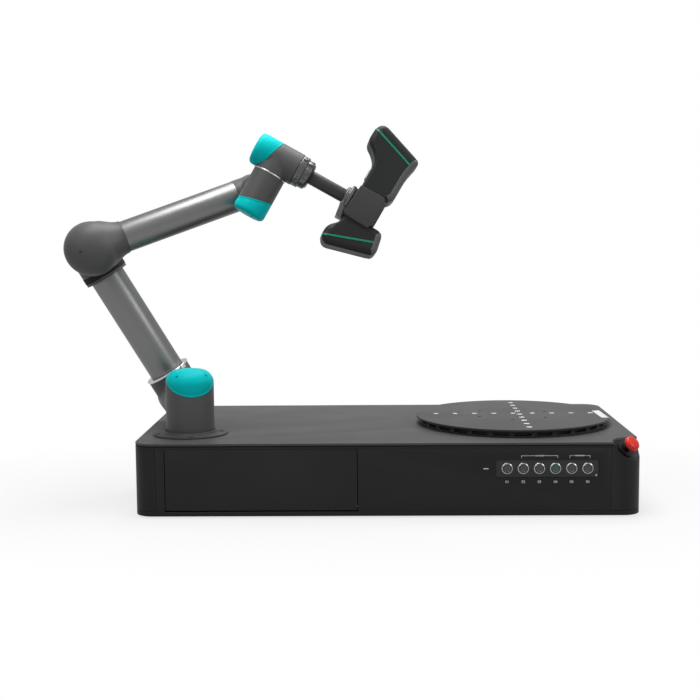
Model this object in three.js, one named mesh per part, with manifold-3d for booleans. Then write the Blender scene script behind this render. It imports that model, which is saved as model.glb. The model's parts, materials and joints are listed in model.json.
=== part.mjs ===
// Desktop 3D scanning station: a low cabinet that carries a six-axis arm, a turntable and a control strip.
// Millimetres, +Z up. X runs along the cabinet, Y to its back. The origin lies on the desk, under the
// middle of the cabinet's footprint.
import * as THREE from "three";
import { mergeVertices } from "three/addons/utils/BufferGeometryUtils.js";
import Module from "manifold-3d";

const wasm = await Module();
wasm.setup();

// Cabinet
const CABINET_LENGTH = 820;
const CABINET_DEPTH = 416;
const CABINET_HEIGHT = 122;
const CABINET_CORNER_RADIUS = 30;
const SHEET = 2.2;
const FOOT_HEIGHT = 3;
const FOOT_WIDTH = 30;
const FOOT_INSET = 55;
const FOOT_BAR_WIDTH = 60;
const RAIL_HEIGHT = 7.5;
const RIM_HEIGHT = 3.5;
const RIM_WIDTH = 14;
const SHADOW_GAP_HEIGHT = 1.5;
const SHADOW_GAP_DEPTH = 3;
const PLATE_THICKNESS = 3.7;
const LEFT_SEAM_INSET = 36;
const RIGHT_SEAM_INSET = 51;

// Access flap at the left of the front, on a pin along its bottom edge
const FLAP_LENGTH = 310;
const FLAP_LEFT_INSET = 51.8;
const FLAP_THICKNESS = 1.9;
const FLAP_GAP = 1.2;
const FLAP_SIDE_GAP = 2;
const FLAP_PIN_RADIUS = 1.5;
const FLAP_PIN_DEPTH = 5;
const FLAP_PIN_RISE = 5.8;
const FLAP_EAR_THICKNESS = 2;
const FLAP_EAR_HEIGHT = 9.5;
const FLAP_EAR_DEPTH = 6.4;
const STOP_RAIL_HEIGHT = 7;
const STOP_RAIL_DEPTH = 12;

// Control strip in the right half of the front
const STRIP_LENGTH = 164.8;
const STRIP_HEIGHT = 29.1;
const STRIP_CENTRE_X = 257.4;
const STRIP_CENTRE_Z = 79.8;
const STRIP_CORNER_RADIUS = 3;
const STRIP_RECESS = 1;
const STRIP_FLANGE = 4;
const STRIP_FLANGE_THICKNESS = 2;
const BUTTON_COUNT = 6;
const BUTTON_PITCH = 25.8;
const BUTTON_RADIUS = 6.6;
const BUTTON_LENGTH = 9.4;
const BUTTON_TRAVEL = 1;
const BUTTON_EDGE = 0.8;
const BEZEL_WIDTH = 1.9;
const BEZEL_HEIGHT = 1.6;
const BOARD_THICKNESS = 1.6;
const BOARD_MARGIN = 2;
const SWITCH_WIDTH = 6;
const SWITCH_HEIGHT = 3;
const STANDOFF_RADIUS = 2.5;

// Emergency stop in a round scoop at the right front corner
const SCOOP_RADIUS = 45;
const SCOOP_SIDE_INSET = 5;
const SCOOP_FRONT_INSET = 8;
const SCOOP_RISE = 13;
const SCOOP_WALL = 3;
const STOP_DIRECTION = [0.5, -0.62, 0.6];
const STOP_HEAD_RADIUS = 13;
const STOP_HEAD_HEIGHT = 12;
const STOP_HEAD_SIDE_INSET = 15;
const STOP_HEAD_FRONT_INSET = 15;
const STOP_HEAD_DROP = 5;
const STOP_TRAVEL = 4;
const STOP_STEM_RADIUS = 6;
const STOP_STEM_LENGTH = 21;
const STOP_STEM_SEAT = 6;
const STOP_BOSS_RADIUS = 13.5;
const STOP_BOSS_LENGTH = 22;
const STOP_BOSS_GAP = 11;

// Turntable
const TABLE_CENTRE_X = 224;
const TABLE_RADIUS = 169;
const TABLE_THICKNESS = 4.6;
const TABLE_EDGE = 0.8;
const TABLE_LIFT = 9.2;
const TABLE_RING_RADIUS = 161;
const TABLE_RING_WIDTH = 15;
const TABLE_SLOT_COUNT = 28;
const TABLE_SLOT_LENGTH = 27;
const TABLE_SLOT_HEIGHT = 5;
const HUB_RADIUS = 45;
const HUB_THICKNESS = 3;
const HUB_SHAFT_RADIUS = 12;
const HUB_SHAFT_LENGTH = 48;
const HUB_HOLE_RADIUS = 20;
const DRIVE_RADIUS = 42;
const DRIVE_FLANGE_RADIUS = 60;
const DRIVE_FLANGE_THICKNESS = 6;
const DRIVE_HEIGHT = 54;

// Things inside the cabinet and in its back
const CONTROLLER_LENGTH = 190;
const CONTROLLER_DEPTH = 210;
const CONTROLLER_HEIGHT = 87;
const CONTROLLER_X = -167;
const CONTROLLER_FRONT_INSET = 58;
const CONTROLLER_FACE_MARGIN = 14;
const CONTROLLER_FACE_DEPTH = 2;
const SUPPLY_LENGTH = 150;
const SUPPLY_DEPTH = 100;
const SUPPLY_HEIGHT = 50;
const SUPPLY_X = 70;
const SUPPLY_Y = 110;
const SUPPLY_STEP = 16;
const INLET_X = 300;
const INLET_LENGTH = 56;
const INLET_HEIGHT = 24;
const INLET_DEPTH = 20;
const INLET_Z = 52;
const INLET_SOCKET_LENGTH = 24;
const INLET_SOCKET_HEIGHT = 16;
const INLET_SOCKET_DEPTH = 14;
const MODULE_FLANGE = 3;
const MODULE_FLANGE_THICKNESS = 2;
const ROCKER_LENGTH = 15;
const ROCKER_SWING_GAP = 2;
const ROCKER_HEIGHT = 12;
const ROCKER_DEPTH = 8;
const ROCKER_REST_TILT = 8;
const ROCKER_CAVITY_DEPTH = 12;
const PORTS_X = 215;
const PORTS_LENGTH = 48;
const PORTS_DEPTH = 18;
const PORT_COUNT = 2;
const PORT_WIDTH = 15;
const PORT_HEIGHT = 12;
const PORT_DEPTH = 13;
const SOCKET_PLATE_START = 160;
const VENT_COUNT = 10;
const VENT_PITCH = 13;
const VENT_WIDTH = 4;
const VENT_HEIGHT = 52;
const VENT_X = -165;

// Arm: its six axes, in the pose of the photograph
const ARM_X = -330.5;
const ARM_Y = -105.5;
const ARM_TURN = 16;
const SHOULDER_RISE = 51.6;
const SHOULDER_OFFSET = 90;
const UPPER_ARM_LENGTH = 303.4;
const UPPER_ARM_ANGLE = 120.55;
const ELBOW_OFFSET = 72;
const FOREARM_LENGTH = 291.5;
const FOREARM_ANGLE = 19.41;
const WRIST_OFFSET = 60;
const WRIST_ANGLE = 59.71;
const WRIST_STEP = 55.1;
const WRIST_TURN = 13.7;
const TOOL_ROLL = 4.4;
const JOINT_GAP = 0.5;

// Arm: base and shoulder
const ARM_RING_RADIUS = 63.5;
const ARM_RING_THICKNESS = 2.5;
const ARM_NECK_RADIUS = 29.7;
const ARM_BASE_RADIUS = 45;
const ARM_BASE_FLANGE_RADIUS = 58;
const ARM_BASE_FLANGE_THICKNESS = 6;
const COLUMN_RADIUS = 40.5;
const COLUMN_TOP_RISE = 86;
const COLUMN_EDGE = 23;
const COLUMN_CROWN = 2;
const SHOULDER_STUB_RADIUS = 39.5;
const SHOULDER_CAP_TILT = 32;
const SHOULDER_CAP_RISE = 91.5;
const CAP_WALL = 2.5;
const CAP_EDGE = 8;

// Arm: links
const JOINT_HOUSING_RADIUS = 40.5;
const JOINT_HOUSING_HALF_LENGTH = 39;
const JOINT_CAP_HEIGHT = 14;
const HOUSING_EDGE = 2;
const LOWER_NECK_RADIUS = 38;
const LOWER_NECK_LENGTH = 50;
const COLLAR_RADIUS = 39.5;
const COLLAR_THICKNESS = 3.7;
const UPPER_NECK_RADIUS = 38;
const UPPER_NECK_LENGTH = 56;
const UPPER_TUBE_RADIUS = 30;
const UPPER_TUBE_WALL = 4;
const SPIGOT_LENGTH = 16;
const ELBOW_RADIUS = 45;
const ELBOW_FRONT_LENGTH = 47;
const ELBOW_DOME_LENGTH = 36;
const ELBOW_SHOULDER_LENGTH = 16;
const SLEEVE_ROOT_RADIUS = 41;
const SLEEVE_ROOT = 16;
const SLEEVE_RADIUS = 27.5;
const SLEEVE_LENGTH = 57;
const FORE_TUBE_RADIUS = 26;
const FORE_TUBE_WALL = 3.5;
const FORE_END_RADIUS = 26.8;
const FORE_END_HALF_LENGTH = 30;
const FORE_END_NECK_RADIUS = 26.4;
const FORE_END_NECK_LENGTH = 34;

// Arm: wrist and tool flange
const WRIST_RADIUS = 27.5;
const WRIST_1_BACK = 22.4;
const WRIST_1_CAP_LENGTH = 27.6;
const WRIST_1_CAP_TILT = 14.6;
const WRIST_1_FRONT = 24.4;
const WRIST_STUB_RADIUS = 24;
const WRIST_RING_RADIUS = 28.3;
const WRIST_RING_THICKNESS = 2.3;
const WRIST_SPIGOT_RADIUS = 18;
const WRIST_2_BACK = 42;
const WRIST_2_FRONT = 36;
const WRIST_2_CAP_START = 10.5;
const WRIST_2_CAP_TILT = 17;
const FLANGE_RADIUS = 26.5;
const FLANGE_DRUM_LENGTH = 11;
const FLANGE_LENGTH = 25;
const FLANGE_TIP_RADIUS = 22;
const FLANGE_TIP_SIDES = 8;
const FLANGE_BOSS_COUNT = 4;
const FLANGE_BOSS_RADIUS = 4;
const FLANGE_BOSS_PROUD = 1.6;
const ROD_RADIUS = 11.5;
const ROD_LENGTH = 68.7;
const ROD_SPIGOT_RADIUS = 8;
const ROD_SPIGOT_LENGTH = 10;

// Clamp that holds the scanner's grip
const BRACKET_RADIUS = 23;
const BRACKET_THICKNESS = 6;
const BRACKET_ARM_WIDTH = 30;
const BRACKET_ARM_DROP = 34;
const BRACKET_ARM_ROOT = 9;
const BRACKET_ARM_TIP = 5;
const BRACKET_LIP = 4;
const BRACKET_LIP_THICKNESS = 3;
const CLAMP_WALL = 4;
const CLAMP_LENGTH = 56;
const CLAMP_FRONT = 29;
const CLAMP_CHAMFER = 11;
const CLAMP_TOP = -9;
const CLAMP_TILT = -1.1;

// Hand-held scanner, F across its front and L along its long axis
const SCANNER_LENGTH = 224;
const SCANNER_DEPTH = 100;
const SCANNER_WIDTH = 56;
const SCANNER_EDGE = 8.5;
const SCANNER_CORNER_REACH = 16;
const SCANNER_TOOL_DISTANCE = 106.6;
const SCANNER_TOOL_RISE = 31;
const SCANNER_GRIP_BACK_SHARE = -0.26;
// Outline of the scanner's side: depth share, then length share, from the top of its back and clockwise.
const SCANNER_OUTLINE_SHARES = [
  [-0.4, 0.476],
  [0.425, 0.355],
  [0.37, 0.272],
  [0.315, 0.188],
  [0.315, -0.009],
  [0.22, -0.054],
  [0.12, -0.259],
  [0.425, -0.254],
  [0.51, -0.4375],
  [-0.33, -0.545],
  [-0.435, -0.5],
  [-0.43, -0.406],
  [SCANNER_GRIP_BACK_SHARE, -0.339],
  [SCANNER_GRIP_BACK_SHARE, 0.17],
  [-0.37, 0.2455],
  [-0.53, 0.295],
  [-0.51, 0.424],
];
// Distance of the upper and of the lower light from its end face
const LIGHT_INSETS = [17.5, 14.5];
const LIGHT_WIDTH = 2.6;
const LIGHT_DEPTH = 1.8;
const WINDOW_WIDTH = 34;
const WINDOW_THICKNESS = 1.5;
const TRIGGER_LENGTH = 22;
const TRIGGER_WIDTH = 12;
const TRIGGER_HEIGHT = 6;
const TRIGGER_PROUD = 2.4;
const TRIGGER_TRAVEL = 1;
const TRIGGER_RISE = 19;
const SOCKET_RADIUS = 3.2;
const SOCKET_DEPTH = 2;
const SOCKET_BACK_SHARE = -0.18;
// Lower and upper limit of each front window, as shares of the scanner's length.
const WINDOW_SPAN_SHARES = [[0.18, 0.255], [-0.352, -0.295]];

// Clearances and fineness
const FIT = 0.3;
const OVERRUN = 6;
const WELD = 0.001;
const ROUND_STEPS = 24;
const SMALL_ROUND_STEPS = 14;
const CORNER_STEPS = 6;

const X_AXIS = new THREE.Vector3(1, 0, 0);
const Y_AXIS = new THREE.Vector3(0, 1, 0);
const Z_AXIS = new THREE.Vector3(0, 0, 1);
const radians = THREE.MathUtils.degToRad;

// Solid of a closed geometry. A profile drawn the other way round gives an inside-out body, so its faces
// are turned.
function solid(geometry) {
  const bare = geometry.index ? geometry.toNonIndexed() : geometry.clone();
  bare.deleteAttribute("normal");
  bare.deleteAttribute("uv");
  const merged = mergeVertices(bare, WELD);
  const vertProperties = merged.attributes.position.array;
  const triVerts = new Uint32Array(merged.index.array);
  const made = new wasm.Manifold(new wasm.Mesh({ numProp: 3, vertProperties, triVerts }));
  if (made.volume() > 0) {
    return made;
  }
  return new wasm.Manifold(new wasm.Mesh({ numProp: 3, vertProperties, triVerts: triVerts.reverse() }));
}

function joined(first, ...others) {
  return others.reduce((sum, other) => sum.add(other), first);
}

function cut(first, ...others) {
  return others.reduce((rest, other) => rest.subtract(other), first);
}

// Moves a geometry whose own axis is Y so that it runs along another axis, with its zero at a point.
function aim(geometry, axis, at = new THREE.Vector3()) {
  const turn = new THREE.Quaternion().setFromUnitVectors(Y_AXIS, axis);
  return geometry.applyQuaternion(turn).translate(at.x, at.y, at.z);
}

function box(x0, x1, y0, y1, z0, z1) {
  const geometry = new THREE.BoxGeometry(x1 - x0, y1 - y0, z1 - z0);
  return solid(geometry.translate((x0 + x1) / 2, (y0 + y1) / 2, (z0 + z1) / 2));
}

// Round body from a closed profile of [radius, place along the axis] points.
function turned(profile, axis = Z_AXIS, at = new THREE.Vector3(), steps = ROUND_STEPS) {
  const points = profile.map(([radius, along]) => new THREE.Vector2(radius, along));
  return solid(aim(new THREE.LatheGeometry(points, steps), axis, at));
}

function rod(radius, from, to, axis = Z_AXIS, at = new THREE.Vector3(), steps = ROUND_STEPS) {
  return turned([[0, from], [radius, from], [radius, to], [0, to]], axis, at, steps);
}

function ring(inner, outer, from, to, axis = Z_AXIS, at = new THREE.Vector3(), steps = ROUND_STEPS) {
  const profile = [[inner, from], [outer, from], [outer, to], [inner, to], [inner, from]];
  return turned(profile, axis, at, steps);
}

// Profile of a round end: a quarter of an ellipse from the rim at [radius, start] to the axis.
function domeProfile(radius, start, height, steps = CORNER_STEPS) {
  const points = [];
  for (let i = 0; i <= steps; i++) {
    const angle = (Math.PI / 2) * (i / steps);
    points.push([i === steps ? 0 : radius * Math.cos(angle), start + height * Math.sin(angle)]);
  }
  return points;
}

// Profile of a rounded edge from the rim at [radius, start] to [radius - edge, start + edge].
function edgeProfile(radius, start, edge, steps = CORNER_STEPS / 2) {
  const points = [];
  const size = Math.abs(edge);
  for (let i = 0; i <= steps; i++) {
    const angle = (Math.PI / 2) * (i / steps);
    points.push([radius - size * (1 - Math.cos(angle)), start + edge * Math.sin(angle)]);
  }
  return points;
}

function roundedRectangle(length, width, radius) {
  const x = length / 2 - radius;
  const y = width / 2 - radius;
  const shape = new THREE.Shape();
  shape.absarc(x, y, radius, 0, Math.PI / 2);
  shape.absarc(-x, y, radius, Math.PI / 2, Math.PI);
  shape.absarc(-x, -y, radius, Math.PI, 1.5 * Math.PI);
  shape.absarc(x, -y, radius, 1.5 * Math.PI, 2 * Math.PI);
  return shape;
}

// Outline through straight runs whose corners are eased over a reach along both neighbours.
function easedOutline(points, reach) {
  const corners = points.map(([x, y]) => new THREE.Vector2(x, y));
  const shape = new THREE.Shape();
  corners.forEach((corner, i) => {
    const before = corners.at(i - 1);
    const after = corners[(i + 1) % corners.length];
    const backShare = Math.min(reach / corner.distanceTo(before), 0.5);
    const aheadShare = Math.min(reach / corner.distanceTo(after), 0.5);
    const start = corner.clone().lerp(before, backShare);
    const end = corner.clone().lerp(after, aheadShare);
    if (i === 0) {
      shape.moveTo(start.x, start.y);
    } else {
      shape.lineTo(start.x, start.y);
    }
    shape.quadraticCurveTo(corner.x, corner.y, end.x, end.y);
  });
  shape.closePath();
  return shape;
}

// Prism of a flat shape. Along Z the shape lies in X and Y, along Y it stands in X and Z.
function prism(shape, from, to, axis = Z_AXIS, steps = CORNER_STEPS) {
  const geometry = new THREE.ExtrudeGeometry(shape, {
    depth: to - from,
    curveSegments: steps,
    bevelEnabled: false,
  });
  if (axis === Y_AXIS) {
    return solid(geometry.rotateX(Math.PI / 2).translate(0, to, 0));
  }
  return solid(geometry.translate(0, 0, from));
}

// Geometry with the vertices and faces of a solid.
function geometryOf(body) {
  const mesh = body.getMesh();
  const positions = new Float32Array(mesh.numVert * 3);
  for (let i = 0; i < mesh.numVert; i++) {
    const start = i * mesh.numProp;
    positions.set(mesh.vertProperties.subarray(start, start + 3), i * 3);
  }
  const geometry = new THREE.BufferGeometry();
  geometry.setAttribute("position", new THREE.BufferAttribute(positions, 3));
  geometry.setIndex(new THREE.BufferAttribute(new Uint32Array(mesh.triVerts), 1));
  geometry.computeVertexNormals();
  return geometry;
}

const FINISHES = {
  satinBlack: { color: 0x17181a, roughness: 0.42, metalness: 0.2 },
  plateGrey: { color: 0x2b2c2e, roughness: 0.38, metalness: 0.3 },
  tableBlack: { color: 0x101113, roughness: 0.3, metalness: 0.2 },
  housingGrey: { color: 0x4a4b4d, roughness: 0.5, metalness: 0.3 },
  tubeGrey: { color: 0x77787b, roughness: 0.3, metalness: 0.8 },
  teal: { color: 0x16b5c4, roughness: 0.35, metalness: 0 },
  silver: { color: 0xc9cbcd, roughness: 0.25, metalness: 1 },
  charcoal: { color: 0x2c2f2f, roughness: 0.55, metalness: 0 },
  green: { color: 0x0b8f57, roughness: 0.3, metalness: 0 },
  red: { color: 0xe02a26, roughness: 0.35, metalness: 0 },
  darkGlass: { color: 0x0b0d10, roughness: 0.08, metalness: 0 },
  rubber: { color: 0x18181a, roughness: 0.9, metalness: 0 },
  zinc: { color: 0x9a9ca0, roughness: 0.45, metalness: 0.9 },
  circuitGreen: { color: 0x1d5a3a, roughness: 0.5, metalness: 0 },
};

function place(group, name, body, finish) {
  const mesh = new THREE.Mesh(geometryOf(body), new THREE.MeshStandardMaterial(FINISHES[finish]));
  mesh.name = name;
  group.add(mesh);
  return mesh;
}

const station = new THREE.Group();
station.name = "scanning_station";

// Levels of the cabinet, from the desk up
const panBottom = FOOT_HEIGHT;
const panTop = panBottom + SHEET;
const railTop = panBottom + RAIL_HEIGHT;
const plateTop = CABINET_HEIGHT;
const plateBottom = plateTop - PLATE_THICKNESS;
const frameTop = plateBottom - FIT;
const rimTop = frameTop - SHADOW_GAP_HEIGHT;
const rimBottom = rimTop - RIM_HEIGHT;
const wallBottom = railTop + FIT;
const wallTop = rimBottom - FIT;

// Plan of the cabinet
const halfLength = CABINET_LENGTH / 2;
const halfDepth = CABINET_DEPTH / 2;
const frontInside = -halfDepth + SHEET;
const backInside = halfDepth - SHEET;
const leftSeam = -halfLength + LEFT_SEAM_INSET;
const rightSeam = halfLength - RIGHT_SEAM_INSET;

function cabinetOutline(inset) {
  return roundedRectangle(
    CABINET_LENGTH - 2 * inset,
    CABINET_DEPTH - 2 * inset,
    CABINET_CORNER_RADIUS - inset,
  );
}

function cabinetSlab(inset, bottom, top) {
  return prism(cabinetOutline(inset), bottom, top);
}

// Scoop at the right front corner
const scoopCentre = new THREE.Vector3(
  halfLength - SCOOP_SIDE_INSET,
  -halfDepth + SCOOP_FRONT_INSET,
  plateTop + SCOOP_RISE,
);

function scoopBall(radius) {
  const geometry = new THREE.SphereGeometry(radius, ROUND_STEPS, ROUND_STEPS / 2);
  return solid(geometry.translate(scoopCentre.x, scoopCentre.y, scoopCentre.z));
}

const scoop = scoopBall(SCOOP_RADIUS);

function buildShell() {
  const pan = cut(cabinetSlab(0, panBottom, railTop), cabinetSlab(SHEET, panTop, railTop + OVERRUN));
  place(station, "base_pan", pan, "satinBlack");

  const walls = cut(
    cabinetSlab(0, wallBottom, wallTop),
    cabinetSlab(SHEET, wallBottom - OVERRUN, wallTop + OVERRUN),
  );
  const far = halfLength + OVERRUN;
  const deep = halfDepth + OVERRUN;
  const leftPart = box(-far, leftSeam - FIT / 2, -deep, deep, 0, plateTop);
  const rightPart = box(rightSeam + FIT / 2, far, -deep, deep, 0, plateTop);
  place(station, "left_end", walls.intersect(leftPart), "satinBlack");
  place(station, "right_end", cut(walls.intersect(rightPart), scoop), "satinBlack");

  const rim = joined(
    cabinetSlab(0, rimBottom, rimTop),
    cabinetSlab(SHADOW_GAP_DEPTH, rimTop - SHEET / 2, frameTop),
  );
  const rimInside = cabinetSlab(RIM_WIDTH, rimBottom - OVERRUN, frameTop + OVERRUN);
  place(station, "top_frame", cut(rim, rimInside, scoop), "satinBlack");

  const armAt = new THREE.Vector3(ARM_X, ARM_Y, 0);
  const hubAt = new THREE.Vector3(TABLE_CENTRE_X, 0, 0);
  const armHole = rod(ARM_NECK_RADIUS + FIT, plateBottom - OVERRUN, plateTop + OVERRUN, Z_AXIS, armAt);
  const hubHole = rod(HUB_HOLE_RADIUS, plateBottom - OVERRUN, plateTop + OVERRUN, Z_AXIS, hubAt);
  const plate = cut(cabinetSlab(0, plateBottom, plateTop), armHole, hubHole, scoop);
  place(station, "top_plate", plate, "plateGrey");

  const footLength = CABINET_DEPTH - 2 * CABINET_CORNER_RADIUS;
  const footTop = FOOT_HEIGHT - FIT;
  const strips = [-1, 1].map((side) => {
    const x = side * (halfLength - FOOT_INSET);
    return box(x - FOOT_WIDTH / 2, x + FOOT_WIDTH / 2, -footLength / 2, footLength / 2, 0, footTop);
  });
  const reach = halfLength - FOOT_INSET;
  const bar = box(-reach, reach, -FOOT_BAR_WIDTH / 2, FOOT_BAR_WIDTH / 2, 0, footTop);
  place(station, "rubber_foot", joined(bar, ...strips), "rubber");
}

// Access flap
const flapLeft = -halfLength + FLAP_LEFT_INSET;
const flapRight = flapLeft + FLAP_LENGTH;
const flapBottom = wallBottom + FLAP_SIDE_GAP;
const flapTop = wallTop - FIT;
const flapInside = -halfDepth + FLAP_THICKNESS;
const flapPin = new THREE.Vector3(0, -halfDepth + FLAP_PIN_DEPTH, flapBottom + FLAP_PIN_RISE);
const jambOutside = FLAP_GAP + FIT + FLAP_EAR_THICKNESS;

function flapEar(x0, y0) {
  const bottom = flapPin.z - FLAP_EAR_HEIGHT / 2;
  return box(
    x0, x0 + FLAP_EAR_THICKNESS, y0, flapInside + FLAP_EAR_DEPTH, bottom, bottom + FLAP_EAR_HEIGHT);
}

function buildFront() {
  const shut = box(leftSeam + FIT / 2, rightSeam - FIT / 2, -halfDepth, frontInside, wallBottom, wallTop);
  const doorway = box(
    flapLeft - FLAP_GAP, flapRight + FLAP_GAP,
    -halfDepth - OVERRUN, frontInside + OVERRUN, wallBottom - OVERRUN, wallTop + OVERRUN,
  );
  const window = stripPrism(FIT, -halfDepth - OVERRUN, frontInside + OVERRUN);
  const railEnd = RIM_WIDTH;
  const stopRail = box(
    flapLeft - railEnd, flapRight + railEnd,
    frontInside - SHEET / 2, frontInside + STOP_RAIL_DEPTH, wallTop - STOP_RAIL_HEIGHT, wallTop,
  );
  const railNotch = box(
    flapLeft - FLAP_GAP, flapRight + FLAP_GAP,
    frontInside - SHEET, frontInside, wallTop - STOP_RAIL_HEIGHT - OVERRUN, wallTop + OVERRUN,
  );
  const jambs = [
    flapEar(flapLeft - jambOutside, frontInside - SHEET / 2),
    flapEar(flapRight + jambOutside - FLAP_EAR_THICKNESS, frontInside - SHEET / 2),
  ];
  const pinHole = rod(
    FLAP_PIN_RADIUS + FIT, flapLeft - railEnd, flapRight + railEnd, X_AXIS, flapPin, SMALL_ROUND_STEPS);
  const frame = cut(
    joined(cut(shut, doorway, window), cut(stopRail, railNotch), ...jambs),
    pinHole,
  );
  place(station, "front_frame", frame, "satinBlack");

  const pin = rod(
    FLAP_PIN_RADIUS, flapLeft - jambOutside, flapRight + jambOutside, X_AXIS, flapPin, SMALL_ROUND_STEPS);
  place(station, "flap_hinge_pin", pin, "zinc");

  const sheet = box(flapLeft, flapRight, -halfDepth, flapInside, flapBottom, flapTop);
  const ears = [
    flapEar(flapLeft, flapInside - FLAP_THICKNESS / 2),
    flapEar(flapRight - FLAP_EAR_THICKNESS, flapInside - FLAP_THICKNESS / 2),
  ];
  place(station, "access_flap", cut(joined(sheet, ...ears), pinHole), "satinBlack");
}

// Control strip
const stripFront = -halfDepth + STRIP_RECESS;
const stripFlangeFront = frontInside + FIT;
const stripBack = stripFlangeFront + STRIP_FLANGE_THICKNESS;
const buttonFront = stripFront - BEZEL_HEIGHT - FIT;
const buttonBack = buttonFront + BUTTON_LENGTH;
const switchFront = buttonBack + BUTTON_TRAVEL + FIT;
const boardFront = switchFront + SWITCH_HEIGHT;

function stripPrism(margin, from, to) {
  const shape = roundedRectangle(
    STRIP_LENGTH + 2 * margin,
    STRIP_HEIGHT + 2 * margin,
    STRIP_CORNER_RADIUS + Math.max(margin, 0),
  );
  const geometry = new THREE.ExtrudeGeometry(shape, {
    depth: to - from,
    curveSegments: CORNER_STEPS / 2,
    bevelEnabled: false,
  });
  return solid(geometry.rotateX(Math.PI / 2).translate(STRIP_CENTRE_X, to, STRIP_CENTRE_Z));
}

function buttonPlace(index) {
  const x = STRIP_CENTRE_X + (index - (BUTTON_COUNT - 1) / 2) * BUTTON_PITCH;
  return new THREE.Vector3(x, 0, STRIP_CENTRE_Z);
}

function buildControlStrip() {
  const places = Array.from({ length: BUTTON_COUNT }, (_, index) => buttonPlace(index));
  const holeRadius = BUTTON_RADIUS + FIT;
  const bezels = places.map((at) => ring(
    holeRadius, holeRadius + BEZEL_WIDTH,
    stripFront - BEZEL_HEIGHT, stripFront + STRIP_RECESS, Y_AXIS, at, SMALL_ROUND_STEPS));
  const holes = places.map((at) => rod(
    holeRadius, stripFront - OVERRUN, stripBack + OVERRUN, Y_AXIS, at, SMALL_ROUND_STEPS));
  const panel = joined(
    stripPrism(0, stripFront, stripBack),
    stripPrism(STRIP_FLANGE, stripFlangeFront, stripBack),
    ...bezels,
  );
  place(station, "button_panel", cut(panel, ...holes), "tableBlack");

  places.forEach((at, index) => {
    const profile = [
      [0, buttonBack],
      [BUTTON_RADIUS, buttonBack],
      ...edgeProfile(BUTTON_RADIUS, buttonFront + BUTTON_EDGE, -BUTTON_EDGE, 2),
      [0, buttonFront],
    ];
    const button = turned(profile, Y_AXIS, at, SMALL_ROUND_STEPS);
    place(station, "button_" + (index + 1), button, "silver");
  });

  const switches = places.map((at) => box(
    at.x - SWITCH_WIDTH / 2, at.x + SWITCH_WIDTH / 2,
    switchFront, boardFront + BOARD_THICKNESS / 2, at.z - SWITCH_WIDTH / 2, at.z + SWITCH_WIDTH / 2));
  const standoffX = STRIP_LENGTH / 2 - BOARD_MARGIN - STANDOFF_RADIUS;
  const standoffZ = STRIP_HEIGHT / 2 - BOARD_MARGIN - STANDOFF_RADIUS;
  const standoffs = [];
  for (const sideX of [-1, 1]) {
    for (const sideZ of [-1, 1]) {
      const at = new THREE.Vector3(
        STRIP_CENTRE_X + sideX * standoffX, 0, STRIP_CENTRE_Z + sideZ * standoffZ);
      standoffs.push(rod(
        STANDOFF_RADIUS, stripBack + FIT, boardFront + BOARD_THICKNESS / 2, Y_AXIS, at, CORNER_STEPS));
    }
  }
  const board = joined(
    stripPrism(-BOARD_MARGIN, boardFront, boardFront + BOARD_THICKNESS),
    ...switches,
    ...standoffs,
  );
  place(station, "button_board", board, "circuitGreen");
}

// Emergency stop, on an axis that points up, forward and to the right
const stopAxis = new THREE.Vector3(...STOP_DIRECTION).normalize();
const stopHeadCentre = new THREE.Vector3(
  halfLength - STOP_HEAD_SIDE_INSET,
  -halfDepth + STOP_HEAD_FRONT_INSET,
  plateTop - STOP_HEAD_DROP,
);

function buildStop() {
  const headBack = -STOP_HEAD_HEIGHT / 2;
  const bossFront = headBack - STOP_BOSS_GAP;
  const bossBack = bossFront - STOP_BOSS_LENGTH;
  const boss = rod(STOP_BOSS_RADIUS, bossBack, bossFront, stopAxis, stopHeadCentre, SMALL_ROUND_STEPS);
  const shell = cut(scoopBall(SCOOP_RADIUS + FIT + SCOOP_WALL), scoopBall(SCOOP_RADIUS + FIT));
  const inside = joined(
    cabinetSlab(SHEET + FIT, panTop + FIT, wallTop),
    cabinetSlab(RIM_WIDTH + FIT, wallTop - FIT, frameTop),
  );
  const stemEnd = headBack + STOP_STEM_SEAT - STOP_STEM_LENGTH;
  const bore = rod(
    STOP_STEM_RADIUS + FIT, stemEnd - STOP_TRAVEL - FIT, bossFront + OVERRUN,
    stopAxis, stopHeadCentre, SMALL_ROUND_STEPS,
  );
  place(station, "estop_housing", cut(joined(shell, boss).intersect(inside), bore), "satinBlack");

  const stem = rod(
    STOP_STEM_RADIUS, stemEnd, headBack + STOP_STEM_SEAT, stopAxis, stopHeadCentre, SMALL_ROUND_STEPS);
  place(station, "estop_stem", stem, "tableBlack");

  const headFront = STOP_HEAD_HEIGHT / 2;
  const crown = STOP_HEAD_HEIGHT / 2;
  const profile = [
    [0, headBack],
    [STOP_HEAD_RADIUS - crown / 2, headBack],
    [STOP_HEAD_RADIUS, headFront - crown],
    ...edgeProfile(STOP_HEAD_RADIUS, headFront - crown, crown).slice(1),
    [0, headFront],
  ];
  const head = turned(profile, stopAxis, stopHeadCentre, SMALL_ROUND_STEPS);
  const socket = rod(
    STOP_STEM_RADIUS + FIT, headBack - OVERRUN, headBack + STOP_STEM_SEAT + FIT,
    stopAxis, stopHeadCentre, SMALL_ROUND_STEPS,
  );
  place(station, "estop_head", cut(head, socket), "red");
}

// Turntable
const tableAt = new THREE.Vector3(TABLE_CENTRE_X, 0, 0);
const tableBottom = plateTop + TABLE_LIFT;
const tableTop = tableBottom + TABLE_THICKNESS;
const hubTop = tableBottom - FIT;

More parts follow.
